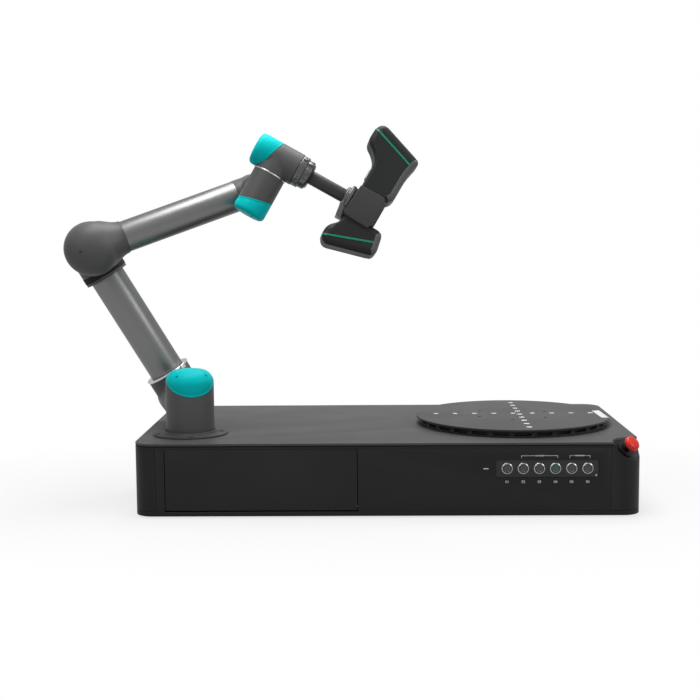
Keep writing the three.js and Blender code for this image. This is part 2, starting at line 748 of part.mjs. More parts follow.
function buildTurntable() {
  const disc = turned([
    [0, tableBottom],
    [TABLE_RADIUS - TABLE_EDGE, tableBottom],
    [TABLE_RADIUS, tableBottom + TABLE_EDGE],
    [TABLE_RADIUS, tableTop - TABLE_EDGE],
    [TABLE_RADIUS - TABLE_EDGE, tableTop],
    [0, tableTop],
  ], Z_AXIS, tableAt, 2 * ROUND_STEPS);
  place(station, "turntable_disc", disc, "tableBlack");

  const ringBottom = plateTop + FIT;
  const ringTop = hubTop;
  const slotMiddle = (ringBottom + ringTop) / 2;
  const ringInside = TABLE_RING_RADIUS - TABLE_RING_WIDTH;
  const base = ring(
    ringInside, TABLE_RING_RADIUS, ringBottom, ringTop, Z_AXIS, tableAt, 2 * ROUND_STEPS,
  );
  const slots = [];
  for (let i = 0; i < TABLE_SLOT_COUNT; i++) {
    const slot = new THREE.BoxGeometry(TABLE_RING_WIDTH + OVERRUN, TABLE_SLOT_LENGTH, TABLE_SLOT_HEIGHT);
    slot.translate(TABLE_RING_RADIUS, 0, slotMiddle).rotateZ((2 * Math.PI * i) / TABLE_SLOT_COUNT);
    slots.push(solid(slot.translate(TABLE_CENTRE_X, 0, 0)));
  }
  place(station, "turntable_base_ring", cut(base, ...slots), "satinBlack");

  const shaftEnd = hubTop - HUB_SHAFT_LENGTH;
  const hub = turned([
    [0, shaftEnd],
    [HUB_SHAFT_RADIUS, shaftEnd],
    [HUB_SHAFT_RADIUS, hubTop - HUB_THICKNESS],
    [HUB_RADIUS, hubTop - HUB_THICKNESS],
    [HUB_RADIUS, hubTop],
    [0, hubTop],
  ], Z_AXIS, tableAt);
  place(station, "turntable_hub", hub, "zinc");

  const driveBottom = frameTop - DRIVE_HEIGHT;
  const bore = HUB_SHAFT_RADIUS + FIT;
  const drive = turned([
    [0, driveBottom],
    [DRIVE_RADIUS, driveBottom],
    [DRIVE_RADIUS, frameTop - DRIVE_FLANGE_THICKNESS],
    [DRIVE_FLANGE_RADIUS, frameTop - DRIVE_FLANGE_THICKNESS],
    [DRIVE_FLANGE_RADIUS, frameTop],
    [bore, frameTop],
    [bore, shaftEnd - FIT],
    [0, shaftEnd - FIT],
  ], Z_AXIS, tableAt);
  place(station, "turntable_drive", drive, "housingGrey");
}

// Socket block in the back panel, with a flange behind the sheet and its mouth flush with the outside
function backModule(x, length, height, depth, z) {
  const body = box(
    x - length / 2, x + length / 2, halfDepth - depth, halfDepth, z - height / 2, z + height / 2,
  );
  const flange = box(
    x - length / 2 - MODULE_FLANGE, x + length / 2 + MODULE_FLANGE,
    backInside - FIT - MODULE_FLANGE_THICKNESS, backInside - FIT,
    z - height / 2 - MODULE_FLANGE, z + height / 2 + MODULE_FLANGE,
  );
  return joined(body, flange);
}

function backPocket(x, length, height, depth, z) {
  return box(
    x - length / 2, x + length / 2, halfDepth - depth, halfDepth + OVERRUN, z - height / 2, z + height / 2);
}

const socketX = INLET_X - INLET_LENGTH / 2 + INLET_SOCKET_LENGTH / 2 + MODULE_FLANGE;
const rockerX = INLET_X + INLET_LENGTH / 2 - ROCKER_LENGTH / 2 - MODULE_FLANGE;
const rockerPivot = new THREE.Vector3(rockerX, halfDepth - ROCKER_DEPTH / 2, INLET_Z);

function buildBack() {
  const sheet = box(leftSeam + FIT / 2, rightSeam - FIT / 2, backInside, halfDepth, wallBottom, wallTop);
  const inletWindow = backPocket(
    INLET_X, INLET_LENGTH + 2 * FIT, INLET_HEIGHT + 2 * FIT, SHEET + OVERRUN, INLET_Z);
  const portsHeight = PORT_HEIGHT + 2 * MODULE_FLANGE;
  const portsWindow = backPocket(
    PORTS_X, PORTS_LENGTH + 2 * FIT, portsHeight + 2 * FIT, SHEET + OVERRUN, INLET_Z);
  const vents = [];
  for (let i = 0; i < VENT_COUNT; i++) {
    const x = VENT_X + (i - (VENT_COUNT - 1) / 2) * VENT_PITCH;
    vents.push(backPocket(x, VENT_WIDTH, VENT_HEIGHT, SHEET + OVERRUN, (wallBottom + wallTop) / 2));
  }
  const ventedSide = box(leftSeam, SOCKET_PLATE_START - FIT / 2, 0, halfDepth, wallBottom, wallTop);
  const socketSide = box(SOCKET_PLATE_START + FIT / 2, rightSeam, 0, halfDepth, wallBottom, wallTop);
  place(station, "back_panel", cut(sheet.intersect(ventedSide), ...vents), "satinBlack");
  const socketPlate = cut(sheet.intersect(socketSide), inletWindow, portsWindow);
  place(station, "socket_plate", socketPlate, "satinBlack");

  const rockerSlot = ROCKER_LENGTH + ROCKER_SWING_GAP;
  const inlet = cut(
    backModule(INLET_X, INLET_LENGTH, INLET_HEIGHT, INLET_DEPTH, INLET_Z),
    backPocket(socketX, INLET_SOCKET_LENGTH, INLET_SOCKET_HEIGHT, INLET_SOCKET_DEPTH, INLET_Z),
    backPocket(rockerX, rockerSlot, ROCKER_HEIGHT + 2 * FIT, ROCKER_CAVITY_DEPTH, INLET_Z),
  );
  place(station, "power_inlet", inlet, "charcoal");

  const rocker = new THREE.BoxGeometry(ROCKER_LENGTH, ROCKER_DEPTH, ROCKER_HEIGHT);
  rocker.rotateZ(-radians(ROCKER_REST_TILT));
  const rockerBody = solid(rocker.translate(rockerPivot.x, rockerPivot.y, rockerPivot.z));
  place(station, "power_rocker", rockerBody, "tableBlack");

  const ports = [];
  for (let i = 0; i < PORT_COUNT; i++) {
    const x = PORTS_X + (i - (PORT_COUNT - 1) / 2) * (PORTS_LENGTH / PORT_COUNT);
    ports.push(backPocket(x, PORT_WIDTH, PORT_HEIGHT, PORT_DEPTH, INLET_Z));
  }
  const block = backModule(PORTS_X, PORTS_LENGTH, portsHeight, PORTS_DEPTH, INLET_Z);
  place(station, "data_ports", cut(block, ...ports), "zinc");
}

function buildInside() {
  const floor = panTop + FIT;
  const left = CONTROLLER_X - CONTROLLER_LENGTH / 2;
  const front = -halfDepth + CONTROLLER_FRONT_INSET;
  const controller = box(
    left, left + CONTROLLER_LENGTH, front, front + CONTROLLER_DEPTH, floor, floor + CONTROLLER_HEIGHT);
  const face = box(
    left + CONTROLLER_FACE_MARGIN, left + CONTROLLER_LENGTH - CONTROLLER_FACE_MARGIN,
    front - OVERRUN, front + CONTROLLER_FACE_DEPTH,
    floor + CONTROLLER_FACE_MARGIN, floor + CONTROLLER_HEIGHT - CONTROLLER_FACE_MARGIN,
  );
  place(station, "controller_box", cut(controller, face), "housingGrey");

  const supply = box(
    SUPPLY_X - SUPPLY_LENGTH / 2, SUPPLY_X + SUPPLY_LENGTH / 2,
    SUPPLY_Y - SUPPLY_DEPTH / 2, SUPPLY_Y + SUPPLY_DEPTH / 2, floor, floor + SUPPLY_HEIGHT,
  );
  const terminals = box(
    SUPPLY_X + SUPPLY_LENGTH / 2 - SUPPLY_STEP, SUPPLY_X + SUPPLY_LENGTH / 2 + OVERRUN,
    SUPPLY_Y - SUPPLY_DEPTH / 2 - OVERRUN, SUPPLY_Y + SUPPLY_DEPTH / 2 + OVERRUN,
    floor + SUPPLY_HEIGHT - SUPPLY_STEP, floor + SUPPLY_HEIGHT + OVERRUN,
  );
  place(station, "power_supply", cut(supply, terminals), "zinc");
}

// Arm. Each link has its own group, with X along the link, Y along the shoulder's axis and Z across both.
const armBottom = plateTop + FIT + ARM_RING_THICKNESS;
const shoulderZ = plateTop + SHOULDER_RISE;

function linkGroup(parent, x, y, z, liftDegrees) {
  const group = new THREE.Group();
  group.position.set(x, y, z);
  group.rotation.y = -radians(liftDegrees);
  parent.add(group);
  return group;
}

// Half-space above a plane through [along, 0] that leans about a level axis
function aboveSlant(along, tiltDegrees, reach, axisName) {
  const slab = new THREE.BoxGeometry(2 * reach, 2 * reach, 2 * reach).translate(0, 0, reach);
  if (axisName === "Z") {
    slab.rotateX(radians(tiltDegrees)).translate(0, 0, along);
  } else {
    slab.rotateY(-Math.PI / 2 - radians(tiltDegrees)).translate(along, 0, 0);
  }
  return solid(slab);
}

function buildArmBase() {
  const at = new THREE.Vector3(ARM_X, ARM_Y, 0);
  const floor = panTop + FIT;
  const flangeBottom = frameTop - ARM_BASE_FLANGE_THICKNESS;
  const neckTop = armBottom;
  const base = turned([
    [0, floor],
    [ARM_BASE_RADIUS, floor],
    [ARM_BASE_RADIUS, flangeBottom],
    [ARM_BASE_FLANGE_RADIUS, flangeBottom],
    [ARM_BASE_FLANGE_RADIUS, frameTop],
    [ARM_NECK_RADIUS, frameTop],
    [ARM_NECK_RADIUS, neckTop],
    [0, neckTop],
  ], Z_AXIS, at);
  place(station, "arm_base_joint", base, "housingGrey");
  const trim = ring(ARM_NECK_RADIUS + FIT, ARM_RING_RADIUS, plateTop + FIT, armBottom, Z_AXIS, at);
  place(station, "arm_flange_ring", trim, "satinBlack");
}

function buildShoulder(group) {
  const bottom = armBottom + FIT;
  const top = plateTop + COLUMN_TOP_RISE;
  const column = turned([
    [0, bottom],
    [COLUMN_RADIUS, bottom],
    ...edgeProfile(COLUMN_RADIUS, top, COLUMN_EDGE, CORNER_STEPS),
    [0, top + COLUMN_EDGE + COLUMN_CROWN],
  ]);
  const stubAt = new THREE.Vector3(0, 0, shoulderZ);
  const stubEnd = SHOULDER_OFFSET - JOINT_HOUSING_HALF_LENGTH - JOINT_GAP;
  const stub = rod(SHOULDER_STUB_RADIUS, 0, stubEnd, Y_AXIS, stubAt);
  const whole = joined(column, stub);
  const split = plateTop + SHOULDER_CAP_RISE;
  const reach = COLUMN_TOP_RISE + SHOULDER_OFFSET;
  const housing = cut(whole, aboveSlant(split, SHOULDER_CAP_TILT, reach, "Z"));
  place(group, "shoulder_housing", housing, "housingGrey");

  const hollow = turned([
    [0, bottom],
    [COLUMN_RADIUS - CAP_WALL, bottom],
    ...edgeProfile(COLUMN_RADIUS - CAP_WALL, top, COLUMN_EDGE - CAP_WALL, CORNER_STEPS),
    [0, top + COLUMN_EDGE + COLUMN_CROWN - CAP_WALL],
  ]);
  const cap = cut(whole.intersect(aboveSlant(split + FIT, SHOULDER_CAP_TILT, reach, "Z")), hollow);
  place(group, "shoulder_cap", cap, "teal");
}

// Round cap with an eased outer edge and a hollow inside, from its open mouth to its closed end
function capSolid(radius, mouth, end, axis, at) {
  const way = Math.sign(end - mouth);
  const edgeStart = end - way * CAP_EDGE;
  const inside = edgeProfile(radius - CAP_WALL, edgeStart, way * (CAP_EDGE - CAP_WALL));
  return turned([
    [0, end - way * CAP_WALL],
    ...inside.reverse(),
    [radius - CAP_WALL, mouth],
    [radius, mouth],
    ...edgeProfile(radius, edgeStart, way * CAP_EDGE),
    [0, end],
  ], axis, at);
}

function jointBarrel(radius, at) {
  const half = JOINT_HOUSING_HALF_LENGTH;
  return turned([
    [0, -half],
    [radius - HOUSING_EDGE, -half],
    [radius, -half + HOUSING_EDGE],
    [radius, half],
    [0, half],
  ], Y_AXIS, at);
}

function buildUpperArm(group) {
  const bore = UPPER_TUBE_RADIUS - UPPER_TUBE_WALL;
  const spigot = bore - FIT;
  const origin = new THREE.Vector3();
  const top = new THREE.Vector3(UPPER_ARM_LENGTH, 0, 0);
  const collarStart = LOWER_NECK_LENGTH + FIT;
  const collarEnd = collarStart + COLLAR_THICKNESS;
  const tubeStart = collarEnd + FIT;
  const upperNeck = UPPER_ARM_LENGTH - UPPER_NECK_LENGTH;
  const tubeEnd = upperNeck - FIT;

  const lower = joined(
    jointBarrel(JOINT_HOUSING_RADIUS, origin),
    rod(LOWER_NECK_RADIUS, 0, LOWER_NECK_LENGTH, X_AXIS),
    rod(spigot, 0, tubeStart + SPIGOT_LENGTH, X_AXIS),
  );
  place(group, "upper_arm_lower_housing", lower, "housingGrey");
  place(group, "upper_arm_collar", ring(bore, COLLAR_RADIUS, collarStart, collarEnd, X_AXIS), "silver");
  place(group, "upper_arm_tube", ring(bore, UPPER_TUBE_RADIUS, tubeStart, tubeEnd, X_AXIS), "tubeGrey");

  const upper = joined(
    jointBarrel(JOINT_HOUSING_RADIUS, top),
    rod(UPPER_NECK_RADIUS, upperNeck, UPPER_ARM_LENGTH, X_AXIS),
    rod(spigot, tubeEnd - SPIGOT_LENGTH, UPPER_ARM_LENGTH, X_AXIS),
  );
  place(group, "upper_arm_upper_housing", upper, "housingGrey");

  const mouth = JOINT_HOUSING_HALF_LENGTH + FIT;
  const end = mouth + JOINT_CAP_HEIGHT;
  place(group, "upper_arm_lower_cap", capSolid(JOINT_HOUSING_RADIUS, mouth, end, Y_AXIS, origin), "teal");
  place(group, "upper_arm_upper_cap", capSolid(JOINT_HOUSING_RADIUS, mouth, end, Y_AXIS, top), "teal");
}

// Neck that swells smoothly from a sleeve to its root, along X
function neckProfile(rootRadius, rootAt, tipRadius, tipAt) {
  const points = [[0, 0], [rootRadius, 0]];
  for (let i = 0; i <= CORNER_STEPS; i++) {
    const share = i / CORNER_STEPS;
    const ease = (1 + Math.cos(Math.PI * share)) / 2;
    points.push([tipRadius + (rootRadius - tipRadius) * ease, rootAt + (tipAt - rootAt) * share]);
  }
  points.push([0, tipAt]);
  return points;
}

function buildForearm(group) {
  const bore = FORE_TUBE_RADIUS - FORE_TUBE_WALL;
  const spigot = bore - FIT;
  const jointFace = ELBOW_OFFSET - JOINT_HOUSING_HALF_LENGTH - JOINT_GAP;
  const bulgeStart = -ELBOW_FRONT_LENGTH + ELBOW_DOME_LENGTH;
  const bulb = turned([
    [0, jointFace],
    [SHOULDER_STUB_RADIUS, jointFace],
    [ELBOW_RADIUS, jointFace - ELBOW_SHOULDER_LENGTH],
    ...domeProfile(ELBOW_RADIUS, bulgeStart, -ELBOW_DOME_LENGTH),
  ], Y_AXIS);
  const sleeve = turned(neckProfile(SLEEVE_ROOT_RADIUS, SLEEVE_ROOT, SLEEVE_RADIUS, SLEEVE_LENGTH), X_AXIS);
  const elbow = joined(bulb, sleeve, rod(spigot, 0, SLEEVE_LENGTH + SPIGOT_LENGTH, X_AXIS));
  const clearOfUpperArm = rod(2 * ELBOW_RADIUS, jointFace, jointFace + 2 * ELBOW_RADIUS, Y_AXIS);
  place(group, "elbow_housing", cut(elbow, clearOfUpperArm), "housingGrey");

  const endNeck = FOREARM_LENGTH - FORE_END_NECK_LENGTH;
  const tube = ring(bore, FORE_TUBE_RADIUS, SLEEVE_LENGTH + FIT, endNeck - FIT, X_AXIS);
  place(group, "forearm_tube", tube, "tubeGrey");

  const at = new THREE.Vector3(FOREARM_LENGTH, 0, 0);
  const barrel = turned([
    [0, -FORE_END_HALF_LENGTH],
    [FORE_END_RADIUS - HOUSING_EDGE, -FORE_END_HALF_LENGTH],
    [FORE_END_RADIUS, -FORE_END_HALF_LENGTH + HOUSING_EDGE],
    [FORE_END_RADIUS, FORE_END_HALF_LENGTH],
    [0, FORE_END_HALF_LENGTH],
  ], Y_AXIS, at);
  const endHousing = joined(
    barrel,
    rod(FORE_END_NECK_RADIUS, endNeck, FOREARM_LENGTH, X_AXIS),
    rod(spigot, endNeck - SPIGOT_LENGTH, FOREARM_LENGTH, X_AXIS),
  );
  place(group, "forearm_end_housing", endHousing, "housingGrey");
  const mouth = FORE_END_HALF_LENGTH + FIT;
  const cap = capSolid(FORE_END_RADIUS, mouth, mouth + JOINT_CAP_HEIGHT, Y_AXIS, at);
  place(group, "forearm_end_cap", cap, "teal");
}

function buildWristOne(group) {
  const stubEnd = WRIST_OFFSET - FORE_END_HALF_LENGTH - JOINT_GAP;
  const ringStart = WRIST_1_FRONT + FIT;
  const ringEnd = ringStart + WRIST_RING_THICKNESS;
  const end = -WRIST_1_BACK - WRIST_1_CAP_LENGTH;
  const capTool = (gap) => aboveSlant(-WRIST_1_BACK - gap, WRIST_1_CAP_TILT, 2 * WRIST_OFFSET, "X");
  const housing = joined(
    cut(rod(WRIST_RADIUS, end, WRIST_1_FRONT, X_AXIS), capTool(0)),
    rod(WRIST_STUB_RADIUS, 0, stubEnd, Y_AXIS),
    rod(WRIST_SPIGOT_RADIUS, 0, ringEnd, X_AXIS),
  );
  const clearOfForearm = rod(2 * WRIST_RADIUS, stubEnd, 2 * stubEnd, Y_AXIS);
  place(group, "wrist_1_housing", cut(housing, clearOfForearm), "housingGrey");
  const trim = ring(WRIST_SPIGOT_RADIUS + FIT, WRIST_RING_RADIUS, ringStart, ringEnd, X_AXIS);
  place(group, "wrist_1_ring", trim, "silver");
  const cap = capSolid(WRIST_RADIUS, 0, end, X_AXIS).intersect(capTool(FIT));
  const stubSpace = rod(WRIST_STUB_RADIUS + FIT, 0, 2 * stubEnd, Y_AXIS);
  place(group, "wrist_1_cap", cut(cap, stubSpace), "teal");
}

function buildWristTwo(group) {
  const stubStart = -(WRIST_STEP - WRIST_1_FRONT - FIT - WRIST_RING_THICKNESS - JOINT_GAP);
  const barrel = turned([
    [0, WRIST_2_FRONT],
    [WRIST_RADIUS, WRIST_2_FRONT],
    ...edgeProfile(WRIST_RADIUS, -WRIST_2_BACK + CAP_EDGE, -CAP_EDGE),
    [0, -WRIST_2_BACK],
  ], X_AXIS);
  const reach = 2 * (WRIST_2_BACK + WRIST_2_FRONT);
  const capTool = (gap) => aboveSlant(-WRIST_2_CAP_START - gap, -WRIST_2_CAP_TILT, reach, "X");
  const hollow = turned([
    [0, WRIST_2_FRONT],
    [WRIST_RADIUS - CAP_WALL, WRIST_2_FRONT],
    ...edgeProfile(WRIST_RADIUS - CAP_WALL, -WRIST_2_BACK + CAP_EDGE, CAP_WALL - CAP_EDGE),
    [0, -WRIST_2_BACK + CAP_WALL],
  ], X_AXIS);
  const cap = cut(barrel.intersect(capTool(FIT)), hollow);
  const stub = rod(WRIST_RADIUS, stubStart, 0, Z_AXIS);
  const capSpace = rod(WRIST_RADIUS + FIT, -WRIST_2_BACK - OVERRUN, WRIST_2_FRONT, X_AXIS);
  const housing = cut(joined(barrel, stub), capSpace.intersect(capTool(0)));
  place(group, "wrist_2_housing", housing, "housingGrey");
  place(group, "wrist_2_cap", cap, "teal");
}

// Distances of the tool are counted from the wrist's crossing point
const flangeStart = WRIST_2_FRONT + JOINT_GAP;
const flangeEnd = flangeStart + FLANGE_LENGTH;
const rodStart = flangeEnd + FIT;
const rodEnd = rodStart + ROD_LENGTH;
const bracketStart = rodEnd + FIT;
const bracketEnd = bracketStart + BRACKET_THICKNESS;

function buildTool(group) {
  const drumEnd = flangeStart + FLANGE_DRUM_LENGTH;
  const drum = rod(FLANGE_RADIUS, flangeStart, drumEnd, X_AXIS);
  const tip = rod(
    FLANGE_TIP_RADIUS, drumEnd - SHEET, flangeEnd, X_AXIS, new THREE.Vector3(), FLANGE_TIP_SIDES,
  );
  const bosses = [];
  for (let i = 0; i < FLANGE_BOSS_COUNT; i++) {
    const boss = new THREE.CylinderGeometry(
      FLANGE_BOSS_RADIUS, FLANGE_BOSS_RADIUS, 2 * FLANGE_BOSS_PROUD + WRIST_RADIUS, SMALL_ROUND_STEPS / 2);
    const out = FLANGE_RADIUS + FLANGE_BOSS_PROUD - (2 * FLANGE_BOSS_PROUD + WRIST_RADIUS) / 2;
    boss.translate(flangeStart + FLANGE_DRUM_LENGTH / 2, out, 0);
    boss.rotateX(Math.PI * ((2 * i) / FLANGE_BOSS_COUNT + 1 / FLANGE_BOSS_COUNT));
    bosses.push(solid(boss));
  }
  const spigotHole = rod(
    ROD_SPIGOT_RADIUS + FIT, flangeEnd - ROD_SPIGOT_LENGTH - FIT, flangeEnd + OVERRUN, X_AXIS);
  place(group, "tool_flange", cut(joined(drum, tip, ...bosses), spigotHole), "housingGrey");

  const bar = joined(
    rod(ROD_RADIUS, rodStart, rodEnd, X_AXIS),
    rod(ROD_SPIGOT_RADIUS, rodStart - ROD_SPIGOT_LENGTH, bracketEnd, X_AXIS),
  );
  place(group, "tool_rod", bar, "satinBlack");

  const armOutline = new THREE.Shape();
  armOutline.moveTo(bracketEnd, 0);
  armOutline.lineTo(bracketEnd, -BRACKET_ARM_DROP);
  armOutline.lineTo(bracketEnd + BRACKET_LIP / 2, -BRACKET_ARM_DROP);
  armOutline.lineTo(bracketEnd + BRACKET_LIP / 2, -BRACKET_ARM_DROP - BRACKET_LIP_THICKNESS);
  armOutline.lineTo(bracketEnd - BRACKET_ARM_TIP, -BRACKET_ARM_DROP - BRACKET_LIP_THICKNESS);
  armOutline.lineTo(bracketEnd - BRACKET_ARM_ROOT, -ROD_RADIUS);
  armOutline.lineTo(bracketEnd - BRACKET_ARM_ROOT, 0);
  armOutline.closePath();
  const hanger = prism(armOutline, -BRACKET_ARM_WIDTH / 2, BRACKET_ARM_WIDTH / 2, Y_AXIS);
  const bracket = cut(
    joined(rod(BRACKET_RADIUS, bracketStart, bracketEnd, X_AXIS), hanger),
    rod(ROD_SPIGOT_RADIUS + FIT, bracketStart - OVERRUN, bracketEnd + OVERRUN, X_AXIS),
    rod(ROD_RADIUS + FIT, rodStart, bracketStart, X_AXIS),
  );
  place(group, "clamp_bracket", bracket, "satinBlack");
}

// Scanner. Its X points out of its front and its Z along its long axis.
const scannerPoints = SCANNER_OUTLINE_SHARES.map(([depthShare, lengthShare]) => [
  depthShare * SCANNER_DEPTH,
  lengthShare * SCANNER_LENGTH,
]);

const gripBack = SCANNER_GRIP_BACK_SHARE * SCANNER_DEPTH;

// The scanner's whole body, drawn in all round by an inset
function scannerBlank(inset) {
  const shape = easedOutline(scannerPoints, SCANNER_CORNER_REACH);
  const edge = SCANNER_EDGE;
  const half = SCANNER_WIDTH / 2 - inset;
  const geometry = new THREE.ExtrudeGeometry(shape, {
    depth: 2 * (half - edge),
    curveSegments: CORNER_STEPS / 2,
    bevelEnabled: true,
    bevelThickness: edge,
    bevelSize: edge,
    bevelOffset: -edge - inset,
    bevelSegments: 3,
  });
  return solid(geometry.translate(0, 0, edge - half).rotateX(Math.PI / 2));
}

// The outline's corners at the back and the front of the upper and of the lower end face
const endFaces = [[scannerPoints[0], scannerPoints[1]], [scannerPoints[9], scannerPoints[8]]];

// Height of an end face's plane at a distance across the scanner's front
function endHeight([[backX, backZ], [frontX, frontZ]], x) {
  return backZ + ((frontZ - backZ) * (x - backX)) / (frontX - backX);
}

// Slab parallel to one end face, centred at a distance inside it
function endSlab(face, distance, thickness) {
  const [[backX, backZ], [frontX, frontZ]] = face;
  const reach = 2 * SCANNER_DEPTH;
  const slab = new THREE.BoxGeometry(reach, reach, thickness);
  slab.translate(0, 0, -Math.sign(backZ) * distance);
  slab.rotateY(-Math.atan2(frontZ - backZ, frontX - backX));
  return solid(slab.translate(0, 0, endHeight(face, 0)));
}

// Box over the middle of the scanner's front, between two heights
function frontBox([low, high], margin) {
  return box(
    0, SCANNER_DEPTH,
    -WINDOW_WIDTH / 2 - margin, WINDOW_WIDTH / 2 + margin,
    low * SCANNER_LENGTH - margin, high * SCANNER_LENGTH + margin,
  );
}

function buildScanner(group) {
  const blank = scannerBlank(0);
  const windowCore = scannerBlank(WINDOW_THICKNESS);
  const windowSeat = scannerBlank(WINDOW_THICKNESS + FIT);
  const lightCore = scannerBlank(LIGHT_DEPTH);
  const lightSeat = scannerBlank(LIGHT_DEPTH + FIT);

  const grooves = endFaces.map((face, i) =>
    cut(endSlab(face, LIGHT_INSETS[i], LIGHT_WIDTH + 2 * FIT), lightSeat));
  const pockets = WINDOW_SPAN_SHARES.map((span) => cut(frontBox(span, FIT), windowSeat));
  const socketX = SOCKET_BACK_SHARE * SCANNER_DEPTH;
  const socketAt = new THREE.Vector3(socketX, 0, endHeight(endFaces[1], socketX));
  const socket = rod(SOCKET_RADIUS, -OVERRUN, SOCKET_DEPTH, Z_AXIS, socketAt, SMALL_ROUND_STEPS);
  const body = cut(blank, ...grooves, ...pockets, triggerSolid(FIT), socket);
  place(group, "scanner_body", body, "charcoal");

  ["scanner_upper_light", "scanner_lower_light"].forEach((name, i) => {
    const band = cut(blank.intersect(endSlab(endFaces[i], LIGHT_INSETS[i], LIGHT_WIDTH)), lightCore);
    place(group, name, band, "green");
  });
  ["scanner_upper_window", "scanner_lower_window"].forEach((name, i) => {
    const pane = cut(blank.intersect(frontBox(WINDOW_SPAN_SHARES[i], 0)), windowCore);
    place(group, name, pane, "darkGlass");
  });
  place(group, "scanner_trigger", triggerSolid(0), "silver");
}

// Trigger on the grip's back. With a margin it is the pocket that the trigger travels in.
function triggerSolid(margin) {
  const shape = roundedRectangle(
    TRIGGER_WIDTH + 2 * margin, TRIGGER_LENGTH + 2 * margin, TRIGGER_WIDTH / 2 + margin);
  const start = margin > 0 ? -OVERRUN : 0;
  const end = TRIGGER_HEIGHT + (margin > 0 ? TRIGGER_TRAVEL + margin : 0);
  const geometry = new THREE.ExtrudeGeometry(shape, {
    depth: end - start,
    curveSegments: CORNER_STEPS,
    bevelEnabled: false,
  });
  geometry.translate(0, 0, start);
  geometry.applyMatrix4(new THREE.Matrix4().makeBasis(Y_AXIS, Z_AXIS, X_AXIS));
  return solid(geometry.translate(gripBack - TRIGGER_PROUD, 0, TRIGGER_RISE));
}

function buildClamp(group) {
  const back = gripBack - CLAMP_WALL;
  const bottom = CLAMP_TOP - CLAMP_LENGTH;
  const c = CLAMP_CHAMFER;
  const outline = new THREE.Shape();
  outline.moveTo(back, CLAMP_TOP);
  outline.lineTo(CLAMP_FRONT - c, CLAMP_TOP);
  outline.lineTo(CLAMP_FRONT, CLAMP_TOP - c);
  outline.lineTo(CLAMP_FRONT, bottom + c);
  outline.lineTo(CLAMP_FRONT - c, bottom);
  outline.lineTo(back, bottom);
  outline.closePath();
  const half = SCANNER_WIDTH / 2 + CLAMP_WALL;
  const block = cut(prism(outline, -half, half, Y_AXIS), scannerBlank(-FIT));
  place(group, "clamp_block", block, "satinBlack");
}

buildShell();
buildFront();
buildControlStrip();
buildStop();
buildTurntable();
buildBack();
buildInside();
buildArmBase();

const armGroup = new THREE.Group();
armGroup.position.set(ARM_X, ARM_Y, 0);
armGroup.rotation.z = radians(ARM_TURN);
station.add(armGroup);
buildShoulder(armGroup);

const upperArm = linkGroup(armGroup, 0, SHOULDER_OFFSET, shoulderZ, UPPER_ARM_ANGLE);
buildUpperArm(upperArm);

const forearm = linkGroup(upperArm, UPPER_ARM_LENGTH, -ELBOW_OFFSET, 0, FOREARM_ANGLE - UPPER_ARM_ANGLE);
buildForearm(forearm);

const wristOne = linkGroup(forearm, FOREARM_LENGTH, -WRIST_OFFSET, 0, WRIST_ANGLE - FOREARM_ANGLE);
buildWristOne(wristOne);

const wristTwo = linkGroup(wristOne, WRIST_STEP, 0, 0, -90);
wristTwo.rotateZ(-radians(WRIST_TURN));
buildWristTwo(wristTwo);

const tool = new THREE.Group();
tool.rotation.x = -radians(TOOL_ROLL);
wristTwo.add(tool);
buildTool(tool);

const scanner = linkGroup(tool, flangeEnd + SCANNER_TOOL_DISTANCE, 0, SCANNER_TOOL_RISE, CLAMP_TILT);
buildScanner(scanner);
buildClamp(scanner);

export default station;
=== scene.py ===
"""Looks of a desktop 3D scanning station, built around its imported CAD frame.

Sizes are in millimetres in the classes below and become metres when a mesh is made.
"""

import json
import logging
import math
from dataclasses import dataclass, field
from enum import Enum
from typing import Callable, Iterable, Sequence

import bmesh
import bpy
from mathutils import Matrix, Vector

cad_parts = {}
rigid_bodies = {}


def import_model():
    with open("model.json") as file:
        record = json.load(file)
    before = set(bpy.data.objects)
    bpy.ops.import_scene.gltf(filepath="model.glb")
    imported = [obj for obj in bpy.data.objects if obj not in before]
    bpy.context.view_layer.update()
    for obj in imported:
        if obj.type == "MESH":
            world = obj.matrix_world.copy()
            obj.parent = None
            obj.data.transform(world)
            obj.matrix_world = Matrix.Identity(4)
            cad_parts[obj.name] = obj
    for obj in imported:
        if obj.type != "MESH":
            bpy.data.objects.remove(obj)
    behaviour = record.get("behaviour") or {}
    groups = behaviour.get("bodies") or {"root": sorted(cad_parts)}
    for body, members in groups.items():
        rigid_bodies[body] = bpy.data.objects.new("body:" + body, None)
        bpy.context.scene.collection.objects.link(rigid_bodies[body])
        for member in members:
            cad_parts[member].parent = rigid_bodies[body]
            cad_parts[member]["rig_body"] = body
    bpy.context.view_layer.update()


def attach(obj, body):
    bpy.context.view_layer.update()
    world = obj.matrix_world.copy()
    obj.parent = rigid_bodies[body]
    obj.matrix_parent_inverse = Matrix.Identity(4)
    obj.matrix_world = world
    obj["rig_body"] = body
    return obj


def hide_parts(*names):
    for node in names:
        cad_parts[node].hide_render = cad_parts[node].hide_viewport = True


LOG = logging.getLogger("scanning_station")

MM = 0.001
FRAME_PIXELS = 700
STAY = Matrix.Identity(4)
OVERRUN = 4.0  # Length in millimetres that is cut off a casting's raw ends.

# Structure that all finishes share.
COAT_ROUGHNESS = 0.12
DRAWN_STRETCH = (1.0, 1.0, 0.06)
FINE_DETAIL = 3.0
BROAD_SCALE = 9.0
BROAD_DETAIL = 4.0
FINE_SHARE = 0.35
BUMP_STRENGTH = 0.6
TONE_SPAN = (0.25, 0.75)
GLOSS_SPAN = (0.3, 0.7)
GLOSS_SHARES = (0.88, 1.14)
EDGE_SPAN = (0.52, 0.62)

Point2 = tuple[float, float]
Colour = tuple[float, float, float]


